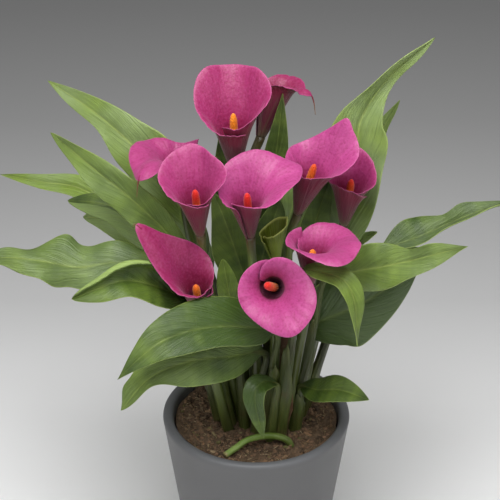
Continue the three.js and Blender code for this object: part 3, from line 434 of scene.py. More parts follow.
class LeafSettings(bpy.types.PropertyGroup):
    """The greens."""

    deep: colour_setting("Deep", "Green of the shaded leaves", (0.035, 0.07, 0.01))
    fresh: colour_setting("Fresh", "Green of the lit leaves", (0.22, 0.32, 0.042))
    vein: colour_setting("Vein", "Colour of the veins", (0.3, 0.42, 0.09))
    rib: colour_setting("Rib", "Colour of the middle rib", (0.4, 0.5, 0.12))
    haze: colour_setting("Haze", "Colour of the waxy bloom", (0.3, 0.38, 0.22))
    stalk: colour_setting("Stalk", "Green of the stalks", (0.068, 0.078, 0.012))
    across: count_setting("Across", "Steps across a blade", 26, 8, 64)
    along: count_setting("Along", "Steps along a blade", 76, 16, 160)


class BloomSettings(bpy.types.PropertyGroup):
    """The colours of the spathes and spadices."""

    lit: colour_setting("Lit", "Magenta of the darker blooms", (0.3, 0.014, 0.098))
    pale: colour_setting("Pale", "Pink of the paler blooms", (0.47, 0.06, 0.25))
    deep: colour_setting("Deep", "Crimson where the tube opens", (0.17, 0.002, 0.025))
    throat: colour_setting("Throat", "Dark inside of the tube", (0.018, 0.001, 0.003))
    edge: colour_setting("Edge", "Thin line of the margin", (0.5, 0.1, 0.27))
    tube: colour_setting("Tube", "Outside of the tube", (0.13, 0.014, 0.033))
    orange: colour_setting("Orange", "Foot of the spadix", (1.0, 0.3, 0.005))
    red: colour_setting("Red", "Top of the spadix", (0.72, 0.015, 0.006))
    young: colour_setting("Young", "Green of the young bloom", (0.21, 0.27, 0.02))
    around: count_setting("Around", "Steps round a spathe", 104, 24, 200)


class StageSettings(bpy.types.PropertyGroup):
    """The floor and the lights."""

    floor: colour_setting("Floor", "Colour of the floor in front", (0.89, 0.89, 0.89))
    key: bpy.props.FloatProperty(
        name="Key", description="Power of the large soft light above", default=25, min=0,
        unit="POWER",
    )
    fill: bpy.props.FloatProperty(
        name="Fill", description="Power of the fill lights", default=6, min=0, unit="POWER"
    )
    sky: bpy.props.FloatProperty(
        name="Sky", description="Strength of the light from all round", default=0.24, min=0
    )


SETTINGS = dict(
    calla_pot=PotSettings, calla_soil=SoilSettings, calla_leaf=LeafSettings,
    calla_bloom=BloomSettings, calla_stage=StageSettings,
)


# Curves and small sums


def mix(a, b, t):
    return a + (b - a) * t


def filled(row, usual):
    """A row with the usual values where it is too short."""
    return (*row, *usual[len(row) :])


def ease(t):
    """0 below 0, 1 above 1, and smooth between them."""
    t = min(1, max(0, t))
    return t * t * (3 - 2 * t)


class Line:
    """A smooth curve through points, with the share of it from 0 to 1 as its measure."""

    def __init__(self, points):
        self.points = [Vector(p) for p in points]
        first, last = self.points[0], self.points[-1]
        self.before = first * 2 - self.points[1]
        self.after = last * 2 - self.points[-2]

    def point(self, t):
        spans = len(self.points) - 1
        k = min(spans - 1, max(0, math.floor(t * spans)))
        w = t * spans - k
        p1, p2 = self.points[k], self.points[k + 1]
        p0 = self.points[k - 1] if k > 0 else self.before
        p3 = self.points[k + 2] if k + 2 <= spans else self.after
        m1, m2 = (p2 - p0) / 2, (p3 - p1) / 2
        square = (p2 * 3 - p1 * 3 - m1 * 2 - m2) * w**2
        return p1 + m1 * w + square + (p1 * 2 - p2 * 2 + m1 + m2) * w**3

    def ahead(self, t):
        return (self.point(min(1, t + 1e-4)) - self.point(max(0, t - 1e-4))).normalized()

    def length(self, parts=40):
        points = [self.point(i / parts) for i in range(parts + 1)]
        return sum((b - a).length for a, b in zip(points, points[1:]))

    def even(self, start, end, steps, fine=160):
        """The shares of the curve where steps of equal length from start to end begin and end."""
        shares = [mix(start, end, i / fine) for i in range(fine + 1)]
        points = [self.point(t) for t in shares]
        run = [0]
        for a, b in zip(points, points[1:]):
            run.append(run[-1] + (b - a).length)
        found = []
        k = 1
        for i in range(steps + 1):
            along = run[-1] * i / steps
            while k < fine and run[k] < along:
                k += 1
            part = (along - run[k - 1]) / (run[k] - run[k - 1])
            found.append(mix(shares[k - 1], shares[k], part))
        return found


def round_ring(ahead, angle):
    """The way out from a line at an angle round it."""
    side = ahead.cross(Vector((0.1, 1, 0))).normalized()
    return side * math.cos(angle) + side.cross(ahead) * math.sin(angle)


def plant_feet(tops):
    """The stalks' feet: drawn towards a focus under the soil, then pushed to stand clear."""
    feet = []
    for x, y, z in tops:
        share = CLUMP["focus"] / (CLUMP["focus"] + z - SOIL["top"])
        feet.append([CLUMP["x"] + (x - CLUMP["x"]) * share, CLUMP["y"] + (y - CLUMP["y"]) * share])
    for _ in range(CLUMP["rounds"]):
        for i, a in enumerate(feet):
            for b in feet[i + 1 :]:
                dx, dy = b[0] - a[0], b[1] - a[1]
                apart = math.hypot(dx, dy)
                push = max(0, CLUMP["spacing"] - apart) / 2 / apart
                a[0] -= dx * push
                a[1] -= dy * push
                b[0] += dx * push
                b[1] += dy * push
    return [Vector((x, y, SOIL["top"] - CLUMP["depth"])) for x, y in feet]


def standing_line(foot, points):
    """A stalk's line: straight from its foot up to where the given points take over."""
    lean = Vector(points[0]) - foot
    return Line([foot, *[foot + lean * share for share in CLUMP["knots"]], *points])


def bloom_frame(bloom):
    axis = Vector(bloom["axis"]).normalized()
    side = axis.cross(Vector(bloom["back"])).normalized()
    return Vector(bloom["base"]), axis, side, side.cross(axis)


def neck_of(bloom):
    base, axis, _, _ = bloom_frame(bloom)
    return base - axis * WALL["neck"]


def shoot_of(leaf):
    return leaf.get("shoot", leaf["name"])


def shoots():
    """The names of the shoots in their order in the table."""
    return list(dict.fromkeys(shoot_of(leaf) for leaf in LEAVES))


def shoot_top(name):
    tops = [Vector(leaf["line"][0]) for leaf in LEAVES if shoot_of(leaf) == name]
    return sum(tops, Vector()) / len(tops)


def all_feet():
    """The foot of each stalk by the name of its node."""
    blooms = [*BLOOMS, YOUNG_BLOOM]
    tops = [neck_of(bloom) for bloom in blooms] + [shoot_top(name) for name in shoots()]
    names = ["flower_stalk_" + bloom["name"] for bloom in blooms] + shoots()
    return dict(zip(names, plant_feet(tops)))


FEET = all_feet()


def soil_height(x, y):
    """The soil's surface: a low mound round the clump with small lumps all over."""
    away = math.hypot(x - CLUMP["x"], y - CLUMP["y"])
    mound = SOIL["mound"] * math.exp(-((away / SOIL["mound_width"]) ** 2))
    across = math.sin(0.31 * x + 1.7 * math.sin(0.13 * y))
    along = math.cos(0.27 * y - 1.3 * math.sin(0.17 * x))
    return SOIL["top"] + mound + SOIL["grain"] * across * along


def roughened(x, y, depth=1.0):
    """The soil's surface with its clods and grit."""
    clods = noise.fractal(
        Vector((x / CLODS["size"], y / CLODS["size"], CLODS["seed"])), *CLODS["detail"]
    )
    grit = noise.noise(Vector((x / GRIT["size"], y / GRIT["size"], GRIT["seed"])))
    return soil_height(x, y) + depth * (CLODS["depth"] * clods + GRIT["depth"] * grit)


# Meshes


def formed_grid(mesh, columns, rows, place, parts=None, fields=None, uv=None):
    """Adds a grid, moves the point in column i and row j to place(i, j), and closes its seams.

    parts gives the material of the faces in column i. fields gives the values of the point fields.
    """
    known = mesh.verts.layers.float
    layers = {name: known.get(name) or known.new(name) for name in (fields(0, 0) if fields else ())}
    layer = mesh.loops.layers.uv.get("run") or mesh.loops.layers.uv.new("run")
    made = bmesh.ops.create_grid(mesh, x_segments=columns, y_segments=rows, size=1)["verts"]
    spot = {}
    for index, vert in enumerate(made):
        i, j = index % (columns + 1), index // (columns + 1)
        spot[vert] = (i, j)
        vert.co = place(i, j) * MM
    for vert, (i, j) in spot.items():
        for name, value in (fields(i, j) if fields else {}).items():
            vert[layers[name]] = value
    faces = {face for vert in made for face in vert.link_faces}
    for face in faces:
        column = min(spot[loop.vert][0] for loop in face.loops)
        face.smooth = True
        if parts:
            face.material_index = parts(column)
        for loop in face.loops:
            i, j = spot[loop.vert]
            loop[layer].uv = uv(i, j) if uv else (i / columns, j / rows)
    bmesh.ops.remove_doubles(mesh, verts=made, dist=WELD)


def two_faces(steps):
    """For a thin sheet with this many steps across it: the columns of its grid, and ways to ask a
    column for its step and for the face that it is on, 0 or 1, as a point and as a row of faces."""
    columns = 2 * steps + 2

    def step_at(i):
        i %= columns
        return (i, 0) if i <= steps else (columns - 1 - i, 1)

    return columns, step_at, lambda i: 1 if steps < i < columns - 1 else 0


def tube(mesh, line, radius, sides, steps, fields, span=(0, 1), part=0, shift=None):
    """A round stalk along a line, drawn to a point at both ends. radius takes the share of its own
    length, and shift moves the middle of each ring."""
    shares = line.even(*span, steps)
    centres = [line.point(t) for t in shares]
    aheads = [line.ahead(t) for t in shares]

    def place(i, j):
        inner = min(steps, max(0, j - 1))
        w = inner / steps
        angle = 2 * math.pi * i / sides
        size = 0 if j in (0, steps + 2) else radius(w, angle)
        moved = shift(w) if shift else Vector()
        return centres[inner] + moved + round_ring(aheads[inner], angle) * size

    formed_grid(
        mesh, sides, steps + 2, place, parts=lambda i: part,
        fields=lambda i, j: fields(min(1, max(0, (j - 1) / steps))),
    )


def rising(w):
    """The point field of a plain stalk: the share of its length."""
    return {"rise": w}


def placed(name, mesh, finishes):
    """Turns a mesh into an object of the scene."""
    data = bpy.data.meshes.new(name)
    mesh.to_mesh(data)
    mesh.free()
    for finish in finishes:
        data.materials.append(finish)
    piece = bpy.data.objects.new(name, data)
    bpy.context.scene.collection.objects.link(piece)
    return piece


def finished(name, mesh, finishes, node=None):
    """Turns a mesh into a piece that rides on the part and stands for the node."""
    bmesh.ops.recalc_face_normals(mesh, faces=mesh.faces)
    piece = placed(name, mesh, finishes)
    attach(piece, "root")
    if node:
        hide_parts(node)


# Leaves


def outline(s, belly):
    """Half the width at a share s of the blade's length, as a share of the widest half."""
    taper = BLADE["shoulder"] * (1 - belly) / belly
    return (s / belly) ** BLADE["shoulder"] * ((1 - s) / (1 - belly)) ** taper


def facing(faces, s):
    i = min(len(faces) - 2, math.floor(s * (len(faces) - 1)))
    return Vector(faces[i]).lerp(Vector(faces[i + 1]), s * (len(faces) - 1) - i)


def half_width(leaf, s, u):
    """The width of one half of a blade, with its bulges."""
    spread = 1
    for half, at, size, reach in leaf.get("bulge", ()):
        if half * u > 0:
            spread += size * math.exp(-(((s - at) / reach) ** 2))
    return leaf["width"] / 2 * outline(s, leaf["belly"]) * spread


def blade_spot(leaf, s, u, seed):
    """How far a point of the upper face lies to the side of the middle line and above it, and how
    far the face is tilted there."""
    fold = leaf["fold_right"] if u > 0 and "fold_right" in leaf else leaf["fold"]
    curl = leaf["curl_right"] if u > 0 and "curl_right" in leaf else leaf["curl"]
    width = half_width(leaf, s, u)
    part = width * abs(u) / BLADE["parts"]
    x = n = 0
    for i in range(BLADE["parts"]):
        w = (i + 0.5) / BLADE["parts"] * abs(u)
        angle = math.radians(mix(*fold, s) + mix(*curl, s) * w)
        x += part * math.cos(angle)
        n += part * math.sin(angle)
    tilt = math.radians(mix(*fold, s) + mix(*curl, s) * abs(u)) * ease(abs(u) * 5)
    high, count, phase = leaf["wave"]
    share = outline(s, leaf["belly"])
    ripple = math.sin(2 * math.pi * (count * s + phase) + (BLADE["lag"] if u > 0 else 0))
    n += high * u * u * math.sqrt(share) * ripple
    away = abs(u) * width
    vein = s - PLEAT["bend"] * abs(u) ** PLEAT["curve"]
    pleat = PLEAT["depth"] * ease(away / PLEAT["start"]) * (1 - abs(u) ** PLEAT["fade"])
    n += pleat * math.sin(2 * math.pi * PLEAT["count"] * vein)
    spot = Vector((s * CRIMP["along"], u * CRIMP["across"], seed))
    n += CRIMP["depth"] * abs(u) ** CRIMP["rise"] * share * noise.noise(spot)
    spot = Vector((s * SWELL["along"], u * SWELL["across"], seed + SWELL["seed"]))
    n += SWELL["depth"] * share * noise.noise(spot) * ease(away / SWELL["start"])
    n -= GROOVE["depth"] * ease(share * 2) * math.exp(-((away / GROOVE["reach"]) ** 2))
    return math.copysign(x, u), n, math.copysign(tilt, u)


def blade_depth(leaf, s, u):
    """The blade's thickness: a thin margin, and a rib below the middle line."""
    away = abs(u) * half_width(leaf, s, u)
    depth = mix(BLADE["thick"], BLADE["margin"], abs(u) ** 3)
    return depth + BLADE["rib"] * (1 - s) * math.exp(-((away / BLADE["rib_reach"]) ** 2))


def add_blade(mesh, leaf, line, start, seed, setting):
    across, along = setting.across, setting.along
    shares = line.even(start, 1, along)
    frames = []
    for j, t in enumerate(shares):
        ahead = line.ahead(t)
        side = ahead.cross(facing(leaf["face"], j / along)).normalized()
        frames.append((line.point(t), side, side.cross(ahead)))
    columns, step_at, face_at = two_faces(across)

    def across_at(i):
        """The side of the middle line, -1 to 1, and whether the point is on the lower face."""
        k, below = step_at(i)
        return 2 * k / across - 1, below

    def place(i, j):
        centre, side, up = frames[j]
        s = j / along
        if j in (0, along):
            return centre
        u, below = across_at(i)
        x, n, tilt = blade_spot(leaf, s, u, seed)
        depth = below * blade_depth(leaf, s, u)
        return centre + side * (x + depth * math.sin(tilt)) + up * (n - depth * math.cos(tilt))

    low, high, haze, under = filled(PAINTED_LEAF_LIGHT.get(leaf["name"], ()), PAINTED_LIGHT_USUAL)

    # The share of painted light at each point: from the table, rising from foot to tip, with more
    # on the lower face
    def fields(i, j):
        return {"fresh": mix(low, high, j / along) + under * across_at(i)[1], "haze": haze}

    formed_grid(
        mesh, columns, along, place, parts=face_at, fields=fields,
        uv=lambda i, j: ((across_at(i)[0] + 1) / 2, j / along),
    )


def add_leaf_stalk(mesh, leaf, line, start, end):
    """The stalk: sheathing at its foot, and slipping under the blade at its top."""
    size, neck = LEAF_STALK, start / end
    drop_start = size["drop_start"] * neck

    def radius(w, angle):
        plain = mix(size["foot"], size["top"], min(1, w / neck))
        foot = size["sheath"] * math.exp(-w / size["sheath_run"])
        turn = math.remainder(angle - size["groove_turn"], 2 * math.pi) / size["groove_reach"]
        groove = size["groove"] * math.exp(-(turn**2))
        ridge = size["ridge"] * math.cos(size["ridges"] * angle + size["twist"] * w)
        return (plain + foot - groove + ridge) * mix(1, size["tip"], ease((w - neck) / (1 - neck)))

    up = Vector(leaf["face"][0]).normalized()
    tube(
        mesh, line, radius, size["sides"], size["steps"], rising, span=(0, end), part=2,
        shift=lambda w: up * (-size["drop"] * ease((w - drop_start) / (1 - drop_start))),
    )


def make_leaves(setting):
    finishes = [leaf_upper_finish(setting), leaf_lower_finish(setting), stalk_finish(setting)]
    for order, name in enumerate(shoots()):
        mesh = bmesh.new()
        for part, leaf in enumerate(leaf for leaf in LEAVES if shoot_of(leaf) == name):
            line = standing_line(FEET[name], leaf["line"])
            spans = len(leaf["line"]) + len(CLUMP["knots"])
            start, end = BLADE["start"] / spans, LEAF_STALK["end"] / spans
            seed = NOISE["shoot"] * order + NOISE["leaf"] * part
            add_blade(mesh, leaf, line, start, seed, setting)
            add_leaf_stalk(mesh, leaf, line, start, end)
        finished("green_" + name, mesh, finishes, name)


# Blooms


def around(values, angle):
    """The value at an angle in degrees, read smoothly between those given at the stops."""
    last = len(STOPS) - 1
    k = next((i for i, stop in enumerate(STOPS) if stop > angle), last) - 1
    k = max(0, min(last - 1, k))

    def slope(j):
        a, b = max(0, j - 1), min(last, j + 1)
        return (values[b] - values[a]) / (STOPS[b] - STOPS[a])

    gap = STOPS[k + 1] - STOPS[k]
    t = (angle - STOPS[k]) / gap
    return (
        (2 * t**3 - 3 * t**2 + 1) * values[k]
        + (t**3 - 2 * t**2 + t) * gap * slope(k)
        + (3 * t**2 - 2 * t**3) * values[k + 1]
        + (t**3 - t**2) * gap * slope(k + 1)
    )


def wall_line(bloom, angle):
    """The spathe's wall from its foot to the margin, at an angle from the back: its length, and
    pairs of distance from the tube's middle line and height along it at each row."""
    tip, tube_length = bloom["tip"], bloom["tube"]
    reach = around(bloom["reach"], angle) + tip * math.exp(-((angle / WALL["tip_width"]) ** 2))
    flare = around(bloom["flare"], angle)
    step = reach / WALL["rows"]
    points = []
    r, h = WALL["foot"], 0
    for k in range(WALL["rows"] + 1):
        run = k * step
        wrap = mix(WALL["overlap"], WALL["overlap_top"], min(1, run / tube_length))
        points.append((r + wrap * angle / 180, h))
        opened = max(0, run + step / 2 - tube_length)
        opened /= max(WALL["shortest"], reach - tube_length)
        lean = mix(WALL["lean"], flare, min(1, opened ** WALL["opening"]))
        lean += RIM["lean"] * ease((run / reach - RIM["start"]) / RIM["reach"])
        r += step * math.sin(math.radians(lean))
        h += step * math.cos(math.radians(lean))
    return reach, points


def add_spathe(mesh, bloom, setting, seed):
    """The rolled sheet of a spathe, thin at the margin, with its inner and its outer face."""
    base, axis, side, back = bloom_frame(bloom)
    pale, dark, quick = filled(PINKS.get(bloom["name"], ()), PINK_USUAL)
    last = WALL["rows"]
    rows = [*range(last), *(last - gap for gap in RIM["rows"])]
    columns, step_at, face_at = two_faces(setting.around)
    walls = []
    for i in range(setting.around + 1):
        angle = mix(STOPS[0], STOPS[-1], i / setting.around)
        turned = math.radians(angle * bloom["hand"])
        out = back * math.cos(turned) + side * math.sin(turned)
        reach, line = wall_line(bloom, angle)
        walls.append((angle, out, reach, line))

    def place(i, j):
        k, outer = step_at(i)
        angle, out, _, line = walls[k]
        row = rows[j]
        low = min(len(line) - 2, math.floor(row))
        part = row - low
        r = mix(line[low][0], line[low + 1][0], part)
        h = mix(line[low][1], line[low + 1][1], part)
        before = line[max(0, low - 1)]
        after = line[min(len(line) - 1, low + 2 if part else low + 1)]
        dr, dh = after[0] - before[0], after[1] - before[1]
        size = math.hypot(dr, dh)
        share = row / last
        free = ease((share - FREE_WALL["start"]) / FREE_WALL["reach"])
        turn = math.radians(angle)
        spot = Vector((turn * SWAY["around"], share * SWAY["along"], seed))
        sway = SWAY["depth"] * free * noise.noise(spot)
        spot = Vector((turn * FLUTTER["around"], share * FLUTTER["along"], seed + FLUTTER["seed"]))
        sway += FLUTTER["depth"] * free**2 * noise.noise(spot)
        edge = 0 if j in (0, len(rows) - 1) else 1 if row <= last - 1 else RIM["thick"]
        shift = sway + (0.5 if outer else -0.5) * WALL["thick"] * edge * mix(1, RIM["thin"], share)
        return base + axis * (h - shift * dr / size) + out * (r + shift * dh / size)

    def fields(i, j):
        k, _ = step_at(i)
        run = rows[j] / last * walls[k][2]
        depth = quick * run / bloom["tube"] - dark
        return {"depth": depth, "wall": rows[j] / last, "pale": pale}

    formed_grid(
        mesh, columns, len(rows) - 1, place, parts=face_at, fields=fields,
        uv=lambda i, j: (step_at(i)[0] / setting.around, rows[j] / last),
    )


def add_tip(mesh, bloom, length):
    """The dry thread at the tip of a wall."""
    base, axis, _, back = bloom_frame(bloom)
    _, line = wall_line(bloom, 0)
    (r0, h0), (r1, h1) = line[-4], line[-1]
    start = base + back * r0 + axis * h0
    end = base + back * r1 + axis * h1
    along = (end - start).normalized()
    droop = Vector((0, 0, -1))
    half, full = (along * a + droop * b for a, b in zip(THREAD["onward"], THREAD["droop"]))
    points = [
        start.lerp(end, THREAD["start"]), end + along * THREAD["stem"],
        end + half * length * THREAD["half"], end + full * length,
    ]
    tube(
        mesh, Line(points), lambda w, _: mix(THREAD["foot"], THREAD["end"], w ** THREAD["taper"]),
        THREAD["sides"], THREAD["steps"], lambda w: {"depth": 2, "wall": w}, part=2,
    )


def add_flower_stalk(mesh, bloom, foot, part=0):
    base, axis, _, _ = bloom_frame(bloom)
    size = FLOWER_STALK
    line = standing_line(foot, [neck_of(bloom), base + axis * size["seat"]])

    def radius(w, angle):
        plain = mix(size["foot"], size["top"], w)
        plain += size["spread"] * math.exp(-w / size["spread_run"])
        swell = size["swell"] * ease((w - size["swell_start"]) / size["swell_run"])
        ridge = size["ridge"] * math.cos(size["ridges"] * angle + size["twist"] * w)
        return plain + swell + ridge * (1 - w)

    tube(mesh, line, radius, size["sides"], size["steps"], rising, part=part)


def add_spadix(mesh, bloom):
    """The spike: rows of small round flowers set in two crossing spirals."""
    base, axis, _, _ = bloom_frame(bloom)
    length = bloom["spadix"] - WALL["seat"]
    lean = Vector(SPIKE_LEAN.get(bloom["name"], (0, 0, 0)))
    line = Line([
        base + axis * WALL["seat"], base + axis * mix(WALL["seat"], bloom["spadix"], 0.5),
        base + axis * bloom["spadix"] + lean,
    ])
    size, top = SPIKE, SPIKE_SIZE.get(bloom["name"], SPIKE["top"])

    def radius(w, angle):
        run = w * length
        dome = max(0, (w - size["dome_start"]) / size["dome_run"]) ** size["dome"]
        plain = mix(size["foot"], top, min(1, run / size["grow"])) * math.sqrt(max(0, 1 - dome))
        turn, twist = size["knobs"] * angle, size["pitch"] * run
        knob = math.cos(turn + twist) * math.cos(turn - twist)
        knob = size["knob"] * knob * ease((run - size["bare"]) / size["bare"])
        return max(size["thinnest"], plain + knob * (1 - size["smooth"] * w**6))

    redness = REDNESS[bloom["name"]]
    tube(
        mesh, line, radius, size["sides"], round(length * size["steps"]),
        lambda w: {"rise": w, "redness": redness},
    )


def make_blooms(setting, leaf_setting):
    inner, outer, tip = wall_finish(setting), outside_finish(setting), tip_finish(setting)
    spike, stalk = spadix_finish(setting), flower_stalk_finish(leaf_setting)
    for order, bloom in enumerate(BLOOMS):
        name = bloom["name"]
        mesh = bmesh.new()
        add_spathe(mesh, bloom, setting, NOISE["bloom"] * order)
        if name in THREADS:
            add_tip(mesh, bloom, THREADS[name])
        finished("funnel_" + name, mesh, [inner, outer, tip], "spathe_" + name)
        mesh = bmesh.new()
        add_spadix(mesh, bloom)
        finished("spike_" + name, mesh, [spike], "spadix_" + name)
        mesh = bmesh.new()
        add_flower_stalk(mesh, bloom, FEET["flower_stalk_" + name])
        finished("stem_" + name, mesh, [stalk], "flower_stalk_" + name)
    mesh = bmesh.new()
    add_spathe(mesh, YOUNG_BLOOM, setting, NOISE["young"])
    add_flower_stalk(mesh, YOUNG_BLOOM, FEET["flower_stalk_young"], part=3)
    young = young_finish(setting)
    finishes = [young, young, tip, stalk]
    finished("rolled_young_bloom", mesh, finishes, "young_bloom")


# Pot, soil and what lies on it


def make_pot(setting):
    """The pot: its outline spun round the middle, with a soft rounded lip."""
    rim, foot, height = POT["rim"], POT["foot"], POT["height"]
    points = [
        (0, FOOT_OUTLINE[0][1]), *((foot - x, z) for x, z in FOOT_OUTLINE),
        *((mix(foot, rim, share), height * share) for share in (0.25, 0.5, 0.75)),
        *((rim - x, height - z) for x, z in LIP_OUTLINE),
        (POT["inner_foot"], POT["floor"]), (0, POT["floor"]),
    ]
    mesh = bmesh.new()
    verts = [mesh.verts.new((x * MM, 0, z * MM)) for x, z in points]
    edges = [mesh.edges.new(pair) for pair in zip(verts, verts[1:])]
    bmesh.ops.spin(
        mesh, geom=verts + edges, cent=(0, 0, 0), axis=(0, 0, 1), angle=2 * math.pi,
        steps=setting.segments, use_merge=True,
    )
    bmesh.ops.remove_doubles(mesh, verts=mesh.verts, dist=WELD)
    for face in mesh.faces:
        face.smooth = True
    finished("smooth_pot", mesh, [pot_finish(setting)], "pot")


def make_soil(setting):
    """The bed of soil, with crumbs, bark chips and fibres strewn over it."""
    level = (SOIL["top"] - BED["clear"] - POT["floor"]) / (POT["height"] - POT["floor"])
    top_radius = mix(POT["inner_foot"], POT["rim"] - POT["lip"], level) - SOIL["gap"]
    low_radius = POT["inner_foot"] - SOIL["gap"]
    low = POT["floor"] + BED["lift"]
    corners = [*((low_radius + out, low + up) for out, up in BED["corners"]), (0, low)]
    rings, turns = BED["rings"], BED["turns"]

    def place(i, j):
        angle = 2 * math.pi * i / turns
        if j <= rings:
            radius = top_radius * j / rings
            x, y = radius * math.cos(angle), radius * math.sin(angle)
            smooth = BED["smooth"] * ease((radius - BED["smooth_start"]) / BED["smooth_reach"])
            return Vector((x, y, roughened(x, y, 1 - smooth)))
        radius, z = corners[j - rings - 1]
        return Vector((radius * math.cos(angle), radius * math.sin(angle), z))

    mesh = bmesh.new()
    formed_grid(mesh, turns, rings + len(corners), place)
    finished("soil_bed", mesh, [earth_finish(setting)], "soil")

    chance = random.Random(setting.seed)
    taken = [foot.xy for foot in FEET.values()]

    def free_spot():
        """A place on the soil that is clear of the stalks."""
        while True:
            radius = top_radius * STREWN["reach"] * math.sqrt(chance.random())
            angle = chance.uniform(0, 2 * math.pi)
            spot = Vector((radius * math.cos(angle), radius * math.sin(angle)))
            if all((spot - other).length > STREWN["clear"] for other in taken):
                return Vector((spot.x, spot.y, roughened(spot.x, spot.y)))

    def strewn(name, count, shape, finish, smooth):
        """Many copies of a small shape, each at its own place, turn and size."""
        whole = bmesh.new()
        for first in range(0, count, STREWN["batch"]):
            batch = bmesh.new()
            layer = batch.verts.layers.float.new("shade")
            for _ in range(first, min(count, first + STREWN["batch"])):
                scatter(batch, layer, shape)
            data = bpy.data.meshes.new("batch")
            batch.to_mesh(data)
            batch.free()
            whole.from_mesh(data)
            bpy.data.meshes.remove(data)
        for face in whole.faces:
            face.smooth = smooth
        finished(name, whole, [finish])

    def scatter(mesh, layer, shape):
        place = free_spot()
        made, size = shape(mesh)
        lean = STREWN["lean"]
        tilts = [chance.uniform(-lean, lean) for _ in range(2)]
        turn = Euler([*tilts, chance.uniform(0, STREWN["turn"])])
        shade = chance.random()
        bmesh.ops.scale(mesh, vec=Vector(size) * MM, verts=made)
        for vert in made:
            vert[layer] = shade
            spot = vert.co * STREWN["pattern"] + Vector((shade * STREWN["apart"], 0, 0))
            vert.co += noise.noise_vector(spot) * size[2] * MM * STREWN["rough"]
        bmesh.ops.rotate(mesh, cent=(0, 0, 0), matrix=turn.to_matrix(), verts=made)
        bmesh.ops.translate(mesh, vec=place * MM, verts=made)

    def drawn_size(kind):
        return mix(*kind["size"], chance.random() ** kind["rarity"])

    def crumb(mesh):
        size = drawn_size(CRUMB)
        made = bmesh.ops.create_icosphere(mesh, subdivisions=1, radius=1)["verts"]
        long, high = chance.uniform(*CRUMB["long"]), chance.uniform(*CRUMB["high"])
        return made, (size * long, size, size * high)

    def chip(mesh):
        size = drawn_size(CHIP)
        made = bmesh.ops.create_cube(mesh, size=2)["verts"]
        return made, (size, size * chance.uniform(*CHIP["wide"]), CHIP["thick"])

    def fibre(mesh):
        made = bmesh.ops.create_cone(
            mesh, segments=FIBRE["sides"], radius1=1, radius2=FIBRE["end"], depth=2, cap_ends=True,
            matrix=Matrix.Rotation(math.pi / 2, 4, "Y"),
        )["verts"]
        return made, (drawn_size(FIBRE), FIBRE["thick"], FIBRE["thick"])

    strewn("soil_crumbs", setting.crumbs, crumb, crumb_finish(setting), True)
    strewn("bark_chips", setting.chips, chip, bark_finish(setting), False)
    strewn("loose_fibres", setting.fibres, fibre, straw_finish(setting), True)


def make_old_growth(setting):
    """The old stalk across the soil, and the sheaths round the feet of some stalks."""
    mesh = bmesh.new()

    def radius(w, angle):
        wrinkle = sum(
            size * math.sin(turns * angle + run * w) for size, turns, run in OLD_STALK["wrinkles"]
        )
        return mix(OLD_STALK["foot"], OLD_STALK["top"], w) * (1 + wrinkle)

    line = Line(OLD_STALK["line"])
    tube(mesh, line, radius, OLD_STALK["sides"], OLD_STALK["steps"], rising)
    finished("bent_old_stalk", mesh, [old_stalk_finish()], "old_stalk")

    lines = {}
    for bloom in BLOOMS:
        base, _, _, _ = bloom_frame(bloom)
        name = "flower_stalk_" + bloom["name"]
        lines[name] = standing_line(FEET[name], [neck_of(bloom), base])
    for leaf in LEAVES:
        name = shoot_of(leaf)
        lines.setdefault(name, standing_line(FEET[name], leaf["line"]))
    papery, green = papery_finish(), stalk_finish(setting)
    for order, sheath in enumerate(SHEATHS, 1):
        mesh = bmesh.new()
        add_sheath(mesh, lines[sheath["stalk"]], sheath, order)
        kind, finish = ("leaf", green) if "green" in sheath else ("papery", papery)
        finished("%s_sheath_%d" % (kind, order), mesh, [finish])


def add_sheath(mesh, line, sheath, seed):
    """A thin torn sheet rolled round the foot of a stalk, with a pointed top that stands off it."""
    size = SHEATH
    steps, rows, start = size["steps"], size["rows"], size["start"]
    length = line.length()
    columns, step_at, _ = two_faces(steps)

    def place(i, j):
        k, outer = step_at(i)
        across, share = 2 * k / steps - 1, j / rows
        angle = math.radians(sheath["turn"] + size["spread"] * across)
        top = sheath["height"] * (1 - size["point"] * abs(across) ** size["curve"])
        top += size["tear"] * noise.noise(Vector((across * size["tears"], seed, 0)))
        t = (start + (top - start) * j / rows) / length
        gape = sheath["gape"] * share ** size["bend"] * mix(*size["gape"], abs(across))
        radius = mix(size["foot"], size["top"], share) + size["skew"] * across + gape
        wide, high = size["ripples"]
        spot = Vector((across * wide, share * high, seed + size["seed"]))
        radius += size["ripple"] * share * noise.noise(spot)
        thick = size["thick"] if 0 < j < rows else 0
        radius += thick / 2 if outer else -thick / 2
        return line.point(t) + round_ring(line.ahead(t), angle) * radius

    height = size["green_top"] if "green" in sheath else 1
    formed_grid(
        mesh, columns, rows, place,
        fields=lambda i, j: {"rise": height * j / rows},
        uv=lambda i, j: (step_at(i)[0] / steps, j / rows),
    )


# Finishes


def between(a, b, share):
    """The colour at a share of the way from one to another."""
    return tuple(mix(x, y, share) for x, y in zip(a, b))


def toned(colour, share):
    """A colour made darker, or lighter where the share is over 1."""
    return tuple(share * part for part in colour)


